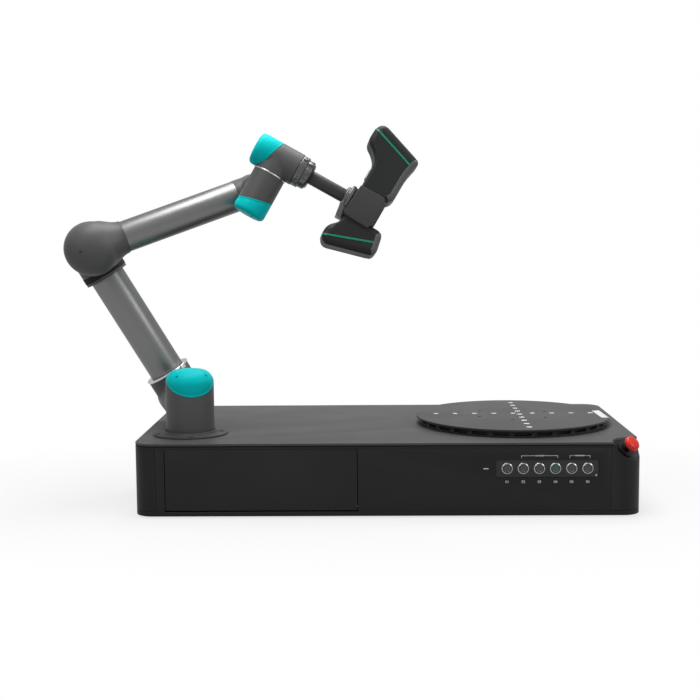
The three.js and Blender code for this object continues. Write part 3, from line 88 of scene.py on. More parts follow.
def add_node(
    tree: bpy.types.NodeTree,
    kind: str,
    values: dict[str | int, object] | None = None,
    links: dict[str | int, bpy.types.NodeSocket] | None = None,
    **settings: object,
) -> bpy.types.Node:
    """Adds a shader node, sets its values and feeds its inputs.

    Args:
        tree: Tree to add to.
        kind: Kind of node.
        values: Fixed values by the input's name or number.
        links: Sockets that feed inputs, by the input's name or number.
        **settings: The node's other properties.

    Returns:
        The node.
    """
    node = tree.nodes.new(kind)
    for name, value in settings.items():
        setattr(node, name, value)
    for key, value in (values or {}).items():
        node.inputs[key].default_value = value
    for key, socket in (links or {}).items():
        tree.links.new(socket, node.inputs[key])
    return node


class Grain(Enum):
    """Kinds of fine surface structure."""

    POWDER = "powder coat"
    MOULDED = "moulded plastic"
    DRAWN = "drawn metal"
    CAST = "cast and painted"
    SMOOTH = "smooth"


@dataclass(frozen=True)
class Finish:
    """One finish: its colour, gloss and fine structure.

    Args:
        name: Name of the material.
        slot: Slot of the record that the finish belongs to; it is not used.
        colour: Linear base colour.
        roughness: Middle roughness.
        metallic: Share of metal, 0 or 1.
        grain: Kind of fine structure.
        grain_mm: Size of the fine structure.
        bump: Height of the fine structure in millimetres.
        tone: How far the colour varies, as a share.
        wear: Share by which edges are paler.
        coat: Weight of a clear coat.
        specular: Level of the plain reflection, 0.5 for usual plastics.
    """

    name: str
    slot: str
    colour: Colour
    roughness: float
    metallic: float = 0.0
    grain: Grain = Grain.POWDER
    grain_mm: float = 0.8
    bump: float = 0.02
    tone: float = 0.12
    wear: float = 0.0
    coat: float = 0.0
    specular: float = 0.5

    def material(self) -> bpy.types.Material:
        """Returns the finish's material, made on first use."""
        found = bpy.data.materials.get(self.name)
        return found if found else self._make()

    def _make(self) -> bpy.types.Material:
        """Builds the node tree.

        Returns:
            The new material.
        """
        made = bpy.data.materials.new(self.name)
        made.use_nodes = True
        tree = made.node_tree
        shader = tree.nodes["Principled BSDF"]
        for name, value in (
            ("Metallic", self.metallic), ("Coat Weight", self.coat),
            ("Coat Roughness", COAT_ROUGHNESS), ("Specular IOR Level", self.specular),
        ):
            shader.inputs[name].default_value = value
        place = tree.nodes.new("ShaderNodeTexCoord").outputs["Object"]
        if self.grain is Grain.DRAWN:
            stretch = add_node(
                tree, "ShaderNodeMapping", {"Scale": DRAWN_STRETCH}, {"Vector": place})
            place = stretch.outputs["Vector"]
        fine = self._noise(tree, place, 1.0 / (self.grain_mm * MM), FINE_DETAIL)
        broad = self._noise(tree, place, BROAD_SCALE, BROAD_DETAIL)
        self._blend(tree, fine, broad, shader)
        bump = add_node(
            tree, "ShaderNodeBump", {"Strength": BUMP_STRENGTH, "Distance": self.bump * MM},
            {"Height": fine})
        tree.links.new(bump.outputs["Normal"], shader.inputs["Normal"])
        return made

    @staticmethod
    def _noise(
        tree: bpy.types.NodeTree, place: bpy.types.NodeSocket, scale: float, detail: float
    ) -> bpy.types.NodeSocket:
        """Adds a noise texture.

        Args:
            tree: Tree to add to.
            place: Coordinates.
            scale: Scale in features a metre.
            detail: Number of finer layers.

        Returns:
            The noise's value socket.
        """
        values = {"Scale": scale, "Detail": detail}
        return add_node(tree, "ShaderNodeTexNoise", values, {"Vector": place}).outputs["Fac"]

    def _blend(
        self,
        tree: bpy.types.NodeTree,
        fine: bpy.types.NodeSocket,
        broad: bpy.types.NodeSocket,
        shader: bpy.types.Node,
    ) -> None:
        """Varies colour and roughness with the two noises, and the colour along edges.

        Args:
            tree: Tree to add to.
            fine: Fine noise.
            broad: Broad noise.
            shader: Shader to feed.
        """
        ramp = tree.nodes.new("ShaderNodeValToRGB")
        low, high = ramp.color_ramp.elements
        low.position, high.position = TONE_SPAN
        low.color = (*[c * (1 - self.tone) for c in self.colour], 1)
        high.color = (*[min(1.0, c * (1 + self.tone)) for c in self.colour], 1)
        mixed = add_node(
            tree, "ShaderNodeMix", {0: FINE_SHARE}, {2: broad, 3: fine}, data_type="FLOAT")
        tree.links.new(mixed.outputs[0], ramp.inputs["Fac"])
        colour = ramp.outputs["Color"]
        if self.wear > 0:
            colour = self._worn(tree, colour, broad)
        tree.links.new(colour, shader.inputs["Base Color"])
        gloss = add_node(tree, "ShaderNodeMapRange", {
            "From Min": GLOSS_SPAN[0], "From Max": GLOSS_SPAN[1],
            "To Min": self.roughness * GLOSS_SHARES[0],
            "To Max": min(1.0, self.roughness * GLOSS_SHARES[1]),
        }, {"Value": broad})
        tree.links.new(gloss.outputs["Result"], shader.inputs["Roughness"])

    def _worn(
        self,
        tree: bpy.types.NodeTree,
        colour: bpy.types.NodeSocket,
        broad: bpy.types.NodeSocket,
    ) -> bpy.types.NodeSocket:
        """Makes convex edges a little paler, more in some places than in others.

        Args:
            tree: Tree to add to.
            colour: Colour so far.
            broad: Broad noise.

        Returns:
            The new colour socket.
        """
        shape = tree.nodes.new("ShaderNodeNewGeometry")
        edge = add_node(
            tree, "ShaderNodeMapRange", {"From Min": EDGE_SPAN[0], "From Max": EDGE_SPAN[1]},
            {"Value": shape.outputs["Pointiness"]})
        share = add_node(
            tree, "ShaderNodeMath", links={0: edge.outputs["Result"], 1: broad},
            operation="MULTIPLY")
        pale = (*[min(1.0, c + self.wear) for c in self.colour], 1)
        mix = add_node(
            tree, "ShaderNodeMix", {7: pale}, {0: share.outputs["Value"], 6: colour},
            data_type="RGBA")
        return mix.outputs[2]


@dataclass(frozen=True)
class Palette:
    """All finishes of the station."""

    cabinet: Finish = Finish(
        "satin black powder coat", "satin_black_metal", (0.0115, 0.0115, 0.012), 0.42,
        grain_mm=0.9, bump=0.015, tone=0.1, wear=0.02, specular=0.3)
    plate: Finish = Finish(
        "dark grey powder coat", "dark_grey_metal", (0.083, 0.083, 0.083), 0.5,
        grain_mm=0.9, bump=0.02, tone=0.05, wear=0.03, specular=0.35)
    ring: Finish = Finish(
        "dark ring coat", "dark_grey_metal", (0.07, 0.07, 0.07), 0.5, bump=0.015, wear=0.03,
        specular=0.3)
    # Near-black for the feet, also used for two pieces of painted shade: the band under the elbow
    # and the disc between the bracket plate and the clamp.
    rubber_and_shade: Finish = Finish(
        "foot rubber", "foot_rubber", (0.02, 0.02, 0.021), 0.85, grain_mm=1.2, bump=0.05)
    pin: Finish = Finish(
        "hinge pin steel", "bright_metal", (0.6, 0.61, 0.62), 0.3, 1.0, Grain.DRAWN, 0.5, 0.004)
    panel: Finish = Finish(
        "control panel coat", "black_panel", (0.062, 0.063, 0.063), 0.4,
        grain=Grain.SMOOTH, grain_mm=1.5, bump=0.004, tone=0.06, specular=0.2)
    board: Finish = Finish(
        "circuit board lacquer", "circuit_board", (0.02, 0.1, 0.05), 0.4, grain_mm=2, bump=0.02)
    plastic: Finish = Finish(
        "black moulded plastic", "black_plastic", (0.012, 0.012, 0.0125), 0.5,
        grain=Grain.MOULDED, grain_mm=0.6, bump=0.02, specular=0.35)
    red: Finish = Finish(
        "red stop plastic", "red_plastic", (1.0, 0.035, 0.024), 0.32,
        grain=Grain.MOULDED, grain_mm=0.7, bump=0.006, tone=0.05, coat=0.2, specular=0.3)
    table: Finish = Finish(
        "black table coat", "table_black", (0.056, 0.056, 0.056), 0.42,
        grain_mm=0.7, bump=0.012, tone=0.05, wear=0.05, specular=0.35)
    hub: Finish = Finish(
        "turned hub aluminium", "hub_aluminium", (0.6, 0.61, 0.62), 0.35, 1.0,
        Grain.DRAWN, 0.6, 0.005)
    drive: Finish = Finish(
        "cast drive housing", "drive_casting", (0.3, 0.3, 0.31), 0.55, 1.0, Grain.CAST, 1.6, 0.05)
    port: Finish = Finish(
        "nickel port shell", "port_metal", (0.55, 0.56, 0.57), 0.3, 1.0, Grain.DRAWN, 0.5, 0.004)
    zinc: Finish = Finish(
        "zinc plated sheet", "zinc_sheet", (0.5, 0.51, 0.53), 0.42, 1.0, Grain.CAST, 6.0, 0.01, 0.2)
    housing: Finish = Finish(
        "grey arm housing coat", "arm_housing_grey", (0.135, 0.133, 0.131), 0.45,
        grain=Grain.CAST, grain_mm=1.1, bump=0.02, tone=0.06, wear=0.05, specular=0.35)
    teal: Finish = Finish(
        "teal cap plastic", "teal_cap", (0.0, 0.77, 0.79), 0.45,
        grain=Grain.MOULDED, grain_mm=0.7, bump=0.01, tone=0.05, specular=0.12)
    collar: Finish = Finish(
        "bright collar aluminium", "silver_collar", (0.8, 0.8, 0.81), 0.28, 1.0,
        Grain.DRAWN, 0.6, 0.004, 0.05)
    tube: Finish = Finish(
        "grey anodised tube", "arm_tube_grey", (0.25, 0.254, 0.25), 0.38, 1.0,
        Grain.DRAWN, 0.7, 0.003, 0.05)
    flange: Finish = Finish(
        "tool flange metal", "flange_grey", (0.16, 0.16, 0.16), 0.3, 1.0,
        Grain.CAST, 1.0, 0.01, 0.1, 0.1)
    bracket: Finish = Finish(
        "bracket metal", "rod_black", (0.17, 0.17, 0.17), 0.38, 1.0, Grain.CAST,
        0.9, 0.01, 0.1, 0.1)
    rod: Finish = Finish(
        "black rod coat", "rod_black", (0.04, 0.04, 0.04), 0.36, grain_mm=0.6,
        bump=0.008, wear=0.03)
    clamp: Finish = Finish(
        "dark printed clamp", "clamp_black", (0.075, 0.075, 0.075), 0.55,
        grain=Grain.MOULDED, grain_mm=0.5, bump=0.03, wear=0.03, specular=0.25)
    scanner: Finish = Finish(
        "charcoal scanner shell", "scanner_charcoal", (0.036, 0.0375, 0.037), 0.42,
        grain=Grain.MOULDED, grain_mm=0.6, bump=0.012, tone=0.08, wear=0.02, specular=0.2)
    bezel_grey: Finish = Finish(
        "grey scanner front", "scanner_charcoal", (0.17, 0.17, 0.166), 0.4,
        grain=Grain.MOULDED, grain_mm=0.6, bump=0.008, tone=0.06, specular=0.4)
    green: Finish = Finish(
        "green light strip", "light_green", (0.0, 0.36, 0.17), 0.25,
        grain=Grain.SMOOTH, grain_mm=1.0, bump=0.002, tone=0.05, coat=0.3)
    glass: Finish = Finish(
        "dark window glass", "window_glass", (0.01, 0.01, 0.013), 0.08,
        grain=Grain.SMOOTH, grain_mm=3.0, bump=0.001, tone=0.1, coat=0.5)
    trigger: Finish = Finish(
        "silver trigger", "silver_plastic", (0.7, 0.71, 0.72), 0.35,
        grain=Grain.MOULDED, grain_mm=0.6, bump=0.004, tone=0.05, coat=0.2)
    button: Finish = Finish(
        "dark button steel", "button_metal", (0.1, 0.1, 0.1), 0.3, 1.0, Grain.DRAWN,
        0.4, 0.006, 0.08)
    button_lit: Finish = Finish(
        "green lit button", "button_metal", (0.085, 0.125, 0.105), 0.3, 1.0,
        Grain.DRAWN, 0.4, 0.006, 0.08)
    bezel: Finish = Finish(
        "bezel steel", "button_metal", (0.46, 0.47, 0.47), 0.16, 1.0, Grain.DRAWN, 0.4, 0.003, 0.05)
    lettering: Finish = Finish(
        "pale print", "silver_plastic", (0.9, 0.9, 0.89), 0.5, grain=Grain.SMOOTH, bump=0.002)
    marks: Finish = Finish(
        "white table marks", "silver_plastic", (0.85, 0.85, 0.85), 0.5, grain=Grain.SMOOTH,
        bump=0.002)
    screw: Finish = Finish(
        "blackened screw", "rod_black", (0.012, 0.012, 0.012), 0.6, grain=Grain.CAST, grain_mm=0.5,
        bump=0.01, specular=0.15)


PALETTE = Palette()


def around(radius: float, degrees: float) -> Point2:
    """Returns the point of a circle at an angle."""
    angle = math.radians(degrees)
    return radius * math.cos(angle), radius * math.sin(angle)


def turn(axis: str, degrees: float) -> Matrix:
    """Returns a rotation about a main axis."""
    return Matrix.Rotation(math.radians(degrees), 4, axis)


def shift(x: float, y: float, z: float) -> Matrix:
    """Returns a translation in millimetres."""
    return Matrix.Translation((x, y, z))


def facing(at: Sequence[float], axis: Sequence[float]) -> Matrix:
    """Frame whose X runs along an axis.

    Args:
        at: Origin in millimetres.
        axis: Direction of X.

    Returns:
        The frame.
    """
    return Matrix.Translation(at) @ Vector(axis).to_track_quat("X", "Z").to_matrix().to_4x4()


def corner_arc(start: Vector, corner: Vector, end: Vector, steps: int) -> list[Point2]:
    """Rounds one corner.

    Args:
        start: Where the rounding starts.
        corner: The sharp corner.
        end: Where the rounding ends.
        steps: Pieces of the rounding.

    Returns:
        The rounding's points.
    """
    arc = []
    for i in range(steps + 1):
        t = i / steps
        arc.append(tuple(start * (1 - t) ** 2 + corner * 2 * t * (1 - t) + end * t * t))
    return arc


def eased(
    points: Sequence[Point2], reach: float, steps: int = 4, least: float = 18.0
) -> list[Point2]:
    """Rounds the corners of an open line.

    Args:
        points: Corners of the line.
        reach: How far a rounding reaches along both neighbours.
        steps: Pieces of each rounding.
        least: Turn in degrees from which a corner is rounded.

    Returns:
        The points of the rounded line.
    """
    made = [points[0]]
    for before, corner, after in zip(points, points[1:], points[2:]):
        b, c, a = Vector(before), Vector(corner), Vector(after)
        into, out = c - b, a - c
        if into.length < 1e-6 or out.length < 1e-6 or into.angle(out) < math.radians(least):
            made.append(corner)
            continue
        size = min(reach, into.length * 0.49, out.length * 0.49)
        start, end = c - into.normalized() * size, c + out.normalized() * size
        made += corner_arc(start, c, end, steps)
    made.append(points[-1])
    return made


def eased_loop(points: Sequence[Point2], reaches: Sequence[float], steps: int = 8) -> list[Point2]:
    """Rounds every corner of a closed line.

    Args:
        points: Corners.
        reaches: Reach of each corner's rounding.
        steps: Pieces of each rounding.

    Returns:
        The points of the rounded loop.
    """
    made: list[Point2] = []
    count = len(points)
    for i, corner in enumerate(points):
        c, b, a = Vector(corner), Vector(points[i - 1]), Vector(points[(i + 1) % count])
        back = min(reaches[i], (b - c).length * 0.49)
        ahead = min(reaches[i], (a - c).length * 0.49)
        start, end = c + (b - c).normalized() * back, c + (a - c).normalized() * ahead
        made += corner_arc(start, c, end, steps)
    return made


def added(name: str, bm: bmesh.types.BMesh) -> bpy.types.Object:
    """Turns a body into an object of the scene.

    Args:
        name: Name of the object and its mesh.
        bm: The body, freed here.

    Returns:
        The object.
    """
    mesh = bpy.data.meshes.new(name)
    bm.to_mesh(mesh)
    bm.free()
    made = bpy.data.objects.new(name, mesh)
    bpy.context.scene.collection.objects.link(made)
    return made


def taken(made: bpy.types.Object) -> bmesh.types.BMesh:
    """Takes an object out of the scene.

    Args:
        made: The object, removed here.

    Returns:
        Its mesh as a body.
    """
    bm = bmesh.new()
    mesh = made.data
    bm.from_mesh(mesh)
    bpy.data.objects.remove(made)
    bpy.data.meshes.remove(mesh)
    return bm


class Mesher:
    """Builds closed bmeshes in millimetres."""

    @staticmethod
    def lathe(profile: Sequence[Point2], steps: int = 96) -> bmesh.types.BMesh:
        """Turns a profile about the X axis.

        Args:
            profile: Points of radius and place along X, closed or with both ends on the axis.
            steps: Pieces round the axis.

        Returns:
            The turned body.
        """
        bm = bmesh.new()
        closed = (Vector(profile[0]) - Vector(profile[-1])).length < 1e-9
        points = profile[:-1] if closed else profile
        rings = []
        for radius, along in points:
            if radius < 1e-6:
                rings.append([bm.verts.new((along, 0, 0))] * steps)
                continue
            ring = []
            for k in range(steps):
                a = 2 * math.pi * k / steps
                ring.append(bm.verts.new((along, radius * math.cos(a), radius * math.sin(a))))
            rings.append(ring)
        pairs = list(zip(rings, rings[1:]))
        if closed:
            pairs.append((rings[-1], rings[0]))
        for one, two in pairs:
            for k in range(steps):
                quad = [one[k], one[(k + 1) % steps], two[(k + 1) % steps], two[k]]
                corners = list(dict.fromkeys(quad))
                if len(corners) > 2:
                    bm.faces.new(corners)
        bmesh.ops.recalc_face_normals(bm, faces=bm.faces)
        return bm

    @staticmethod
    def rod(
        radius: float, start: float, end: float, ease: float = 0.6, steps: int = 96
    ) -> bmesh.types.BMesh:
        """Returns a round bar along X with eased ends."""
        corners = [(0, start), (radius, start), (radius, end), (0, end)]
        return Mesher.lathe(eased(corners, ease), steps)

    @staticmethod
    def barrel(radius: float, half: float, chamfer: float) -> bmesh.types.BMesh:
        """Makes a joint barrel along X, longer than needed at the cap's side.

        Args:
            radius: Radius of the barrel.
            half: Half of its length.
            chamfer: Size of the chamfer at its closed end.

        Returns:
            The raw barrel.
        """
        r, h, top = radius, half, half + OVERRUN
        return Mesher.lathe(eased(
            [(0, -h), (r - chamfer, -h), (r, -h + chamfer), (r, top), (0, top)], 1.0))

    @staticmethod
    def tube(
        inner: float, outer: float, start: float, end: float, ease: float = 0.5, steps: int = 96
    ) -> bmesh.types.BMesh:
        """Makes a ring along X with eased edges.

        Args:
            inner: Inner radius.
            outer: Outer radius.
            start: Place of its start.
            end: Place of its end.
            ease: Size of the rounding.
            steps: Pieces round the axis.

        Returns:
            The ring.
        """
        corners = [(inner, start), (outer, start), (outer, end), (inner, end)]
        loop = eased_loop(corners, [ease] * 4, 3)
        return Mesher.lathe([*loop, loop[0]], steps)

    @staticmethod
    def pad(
        outline: Sequence[Point2], low: float, high: float, edge: float, steps: int = 4
    ) -> bmesh.types.BMesh:
        """Flat body with rounded edges, its outline in X and Y.

        Args:
            outline: Closed line, anticlockwise.
            low: Lowest Z.
            high: Highest Z.
            edge: Size of the rounding.
            steps: Pieces of the rounding.

        Returns:
            The body.
        """
        bm = bmesh.new()
        flat = [Vector(p) for p in outline]
        count = len(flat)
        inward = Mesher.inward(flat)
        levels = []
        for i in range(steps + 1):
            a = math.pi / 2 * i / steps
            levels.append((edge * (1 - math.sin(a)), low + edge * (1 - math.cos(a))))
        for i in range(steps, -1, -1):
            a = math.pi / 2 * i / steps
            levels.append((edge * (1 - math.sin(a)), high - edge * (1 - math.cos(a))))
        rings = [[bm.verts.new((*(p + n * d), z)) for p, n in zip(flat, inward)] for d, z in levels]
        for one, two in zip(rings, rings[1:]):
            for k in range(count):
                m = (k + 1) % count
                bm.faces.new((one[k], one[m], two[m], two[k]))
        bm.faces.new(reversed(rings[0]))
        bm.faces.new(rings[-1])
        bmesh.ops.remove_doubles(bm, verts=bm.verts, dist=1e-4)
        bmesh.ops.recalc_face_normals(bm, faces=bm.faces)
        return bm

    @staticmethod
    def inward(loop: Sequence[Vector]) -> list[Vector]:
        """Directions into an anticlockwise loop at its points, longer at sharp corners.

        Args:
            loop: Closed line.

        Returns:
            One direction for each point.
        """
        made = []
        for i, p in enumerate(loop):
            before, after = p - loop[i - 1], loop[(i + 1) % len(loop)] - p
            if before.length < 1e-9:
                before = after
            if after.length < 1e-9:
                after = before
            one = Vector((-before.y, before.x)).normalized()
            two = Vector((-after.y, after.x)).normalized()
            middle = (one + two).normalized()
            made.append(middle / max(0.5, middle.dot(one)))
        return made

    @staticmethod
    def block(low: Sequence[float], high: Sequence[float], edge: float = 0.4) -> bmesh.types.BMesh:
        """Box with rounded edges.

        Args:
            low: Lowest corner.
            high: Highest corner.
            edge: Size of the rounding.

        Returns:
            The body.
        """
        bm = bmesh.new()
        bmesh.ops.create_cube(bm, size=1.0)
        size = [h - l for l, h in zip(low, high)]
        middle = [(h + l) / 2 for l, h in zip(low, high)]
        bmesh.ops.scale(bm, vec=size, verts=bm.verts)
        bmesh.ops.translate(bm, vec=middle, verts=bm.verts)
        bmesh.ops.bevel(
            bm, geom=list(bm.edges), offset=min(edge, min(size) * 0.45), segments=3, profile=0.5,
            affect="EDGES")
        return bm

    @staticmethod
    def join(parts: Iterable[tuple[bmesh.types.BMesh, Matrix]]) -> bmesh.types.BMesh:
        """Puts several bodies into one mesh.

        Args:
            parts: Bodies with their frames.

        Returns:
            One mesh with all bodies.
        """
        whole = bmesh.new()
        for bm, frame in parts:
            bm.transform(frame)
            temp = bpy.data.meshes.new("part")
            bm.to_mesh(temp)
            whole.from_mesh(temp)
            bpy.data.meshes.remove(temp)
            bm.free()
        return whole

    @staticmethod
    def slanted_cap(
        shell: Callable[[float], bmesh.types.BMesh], at: Vector, normal: Vector
    ) -> bmesh.types.BMesh:
        """Cap cut off at a slant, with a lip along its mouth and a fine groove behind the lip.

        Args:
            shell: Makes the whole cap with its outside grown by some millimetres.
            at: Point of the mouth's plane.
            normal: Normal of that plane towards the cap.

        Returns:
            The cap.
        """
        mouth, proud, groove_start, groove_end, groove_depth = 0.4, 0.1, 2.8, 3.4, 0.6
        lip = Mesher.sliced(shell(proud), at + normal * mouth, -normal)
        lip = Mesher.sliced(lip, at + normal * groove_start, normal)
        body = Mesher.sliced(shell(0.0), at + normal * groove_end, -normal)
        core = Mesher.sliced(shell(-groove_depth), at + normal * groove_depth, -normal)
        return Mesher.join([(part, STAY) for part in (lip, body, core)])

    @staticmethod
    def sliced(
        bm: bmesh.types.BMesh, at: Sequence[float], normal: Sequence[float]
    ) -> bmesh.types.BMesh:
        """Cuts away what lies on a plane's normal side and closes the cut.

        Args:
            bm: Body to cut.
            at: Point of the plane.
            normal: Normal of the plane.

        Returns:
            The same body.
        """
        geometry = [*bm.verts, *bm.edges, *bm.faces]
        cut = bmesh.ops.bisect_plane(
            bm, geom=geometry, dist=1e-5, plane_co=at, plane_no=normal, clear_outer=True)
        edges = [e for e in cut["geom_cut"] if isinstance(e, bmesh.types.BMEdge)]
        bmesh.ops.triangle_fill(bm, edges=edges, use_beauty=True, normal=normal)
        bmesh.ops.recalc_face_normals(bm, faces=bm.faces)
        return bm


class Workshop:
    """Turns bmeshes into dressed pieces that ride on their bodies."""

    def __init__(self) -> None:
        """Starts with no pieces."""
        self.count = 0

    def piece(
        self,
        name: str,
        bm: bmesh.types.BMesh,
        finish: Finish,
        body: str,
        frame: Matrix | None = None,
        replaces: Sequence[str] = (),
        sharp: float = 38.0,
        bevel: float = 0.0,
    ) -> bpy.types.Object:
        """Adds one piece.

        Args:
            name: Name of the piece.
            bm: Its shape in millimetres, freed here.
            finish: Its finish.
            body: CAD body it moves with.
            frame: Frame of the shape.
            replaces: CAD nodes it stands for.
            sharp: Edges that turn by more than this many degrees stay sharp.
            bevel: Size of a rounding on its sharp edges in millimetres.

        Returns:
            The piece.
        """
        if frame is not None:
            bm.transform(frame)
        bmesh.ops.scale(bm, vec=(MM, MM, MM), verts=bm.verts)
        made = added(name, bm)
        if bevel:
            self._bevel(made, bevel, 2)
        self._dress(made, finish, sharp)
        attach(made, body)
        if replaces:
            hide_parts(*replaces)
        LOG.info("piece %s on %s, %d faces", name, body, len(made.data.polygons))
        return made

    def _dress(self, made: bpy.types.Object, finish: Finish, sharp: float) -> None:
        """Smooths a piece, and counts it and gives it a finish.

        Args:
            made: The piece.
            finish: Its finish.
            sharp: Edges that turn by more than this many degrees stay sharp.
        """
        self.count += 1
        made.data.shade_smooth()
        made.data.set_sharp_from_angle(angle=math.radians(sharp))
        made.data.materials.clear()
        made.data.materials.append(finish.material())

    def refined(
        self, node: str, finish: Finish, edge: float = 0.5, segments: int = 3
    ) -> bpy.types.Object:
        """Replaces a CAD node by its own shape with rounded edges and smooth rounds.

        Args:
            node: CAD node.
            finish: Its finish.
            edge: Size of the rounding in millimetres.
            segments: Pieces of the rounding.

        Returns:
            The piece.
        """
        source = bpy.data.objects[node]
        bm = bmesh.new()
        bm.from_mesh(source.data)
        bmesh.ops.remove_doubles(bm, verts=bm.verts, dist=1e-6)
        bmesh.ops.dissolve_limit(bm, angle_limit=math.radians(1.0), verts=bm.verts, edges=bm.edges)
        made = added(node + "_finished", bm)
        self._bevel(made, edge, segments)
        self._dress(made, finish, 32)
        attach(made, source["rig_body"])
        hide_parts(node)
        LOG.info("refined %s, %d faces", node, len(made.data.polygons))
        return made

    def _bevel(self, made: bpy.types.Object, edge: float, segments: int) -> None:
        """Rounds an object's sharp edges.

        Args:
            made: The object.
            edge: Size of the rounding in millimetres.
            segments: Pieces of the rounding.
        """
        bevel = made.modifiers.new("edges", "BEVEL")
        bevel.width, bevel.segments = edge * MM, segments
        bevel.limit_method, bevel.angle_limit = "ANGLE", math.radians(40)
        self._apply(made)

    @staticmethod
    def _apply(made: bpy.types.Object) -> None:
        """Applies all modifiers of an object.

        Args:
            made: The object.
        """
        graph = bpy.context.evaluated_depsgraph_get()
        result = bpy.data.meshes.new_from_object(made.evaluated_get(graph))
        old = made.data
        made.modifiers.clear()
        made.data = result
        bpy.data.meshes.remove(old)

    def cast(self, bm: bmesh.types.BMesh, voxel: float, rounds: int) -> bmesh.types.BMesh:
        """Melts overlapping bodies into one casting with soft inner corners.

        Args:
            bm: Overlapping closed bodies in millimetres, freed here.
            voxel: Grid size in millimetres.
            rounds: Rounds of smoothing.

        Returns:
            The casting in millimetres.
        """
        made = added("casting", bm)
        remesh = made.modifiers.new("melt", "REMESH")
        remesh.mode, remesh.voxel_size = "VOXEL", voxel
        smooth = made.modifiers.new("ease", "SMOOTH")
        smooth.factor, smooth.iterations = 0.5, rounds
        self._apply(made)
        return taken(made)

    def carved(self, bm: bmesh.types.BMesh, tool: bmesh.types.BMesh) -> bmesh.types.BMesh:
        """Cuts one body out of another with an exact boolean.

        Args:
            bm: Body, freed here.
            tool: Cutting body, freed here.

        Returns:
            The carved body.
        """
        made, cutter = added("carving", bm), added("carving", tool)
        step = made.modifiers.new("cut", "BOOLEAN")
        step.operation, step.object, step.solver = "DIFFERENCE", cutter, "EXACT"
        self._apply(made)
        taken(cutter).free()
        return taken(made)

    def screw(self, name: str, at: Matrix, body: str, radius: float = 2.2) -> bpy.types.Object:
        """Adds a small socket screw whose head looks along X of its frame.

        Args:
            name: Name of the piece.
            at: Frame on the surface.
            body: CAD body it moves with.
            radius: Radius of its head.

        Returns:
            The piece.
        """
        socket = radius * 0.5
        foot, floor, top = -1.4, -0.9, 0.25
        profile = [
            (0, foot), (radius, foot), (radius, top), (socket, top), (socket, floor), (0, floor),
        ]
        return self.piece(name, Mesher.lathe(eased(profile, 0.25, 3), 24), PALETTE.screw, body, at)


@dataclass
class PhotoCamera:
    """Camera that stands where the photograph was taken from.

    Args:
        place: Its place in millimetres.
        pitch: Degrees that it looks down.
        yaw: Degrees that it looks to the left.
        roll: Degrees that it is rolled.
        focal_pixels: Focal length in pixels of the square frame.
        sensor: Width of its sensor in millimetres.
    """

    place: tuple[float, float, float] = (-20.94, -2139.62, 472.66)
    pitch: float = 5.912
    yaw: float = 1.095
    roll: float = -0.442
    focal_pixels: float = 1220.4
    sensor: float = 36.0

    def build(self) -> bpy.types.Object:
        """Makes the scene's camera.

        Returns:
            The camera.
        """
        pitch, yaw, roll = (math.radians(a) for a in (self.pitch, self.yaw, self.roll))
        ahead = Vector((
            -math.sin(yaw) * math.cos(pitch), math.cos(yaw) * math.cos(pitch), -math.sin(pitch)))
        level = Vector((math.cos(yaw), math.sin(yaw), 0.0))
        above = level.cross(ahead)
        right = math.cos(roll) * level + math.sin(roll) * above
        up = -math.sin(roll) * level + math.cos(roll) * above
        data = bpy.data.cameras.new("camera")
        data.sensor_width = self.sensor
        data.lens = self.sensor * self.focal_pixels / FRAME_PIXELS
        data.clip_start, data.clip_end = 0.05, 50.0
        made = bpy.data.objects.new("camera", data)
        frame = Matrix((right, up, -ahead)).transposed().to_4x4()
        frame.translation = Vector(self.place) * MM
        made.matrix_world = frame
        bpy.context.scene.collection.objects.link(made)
        bpy.context.scene.camera = made
        return made


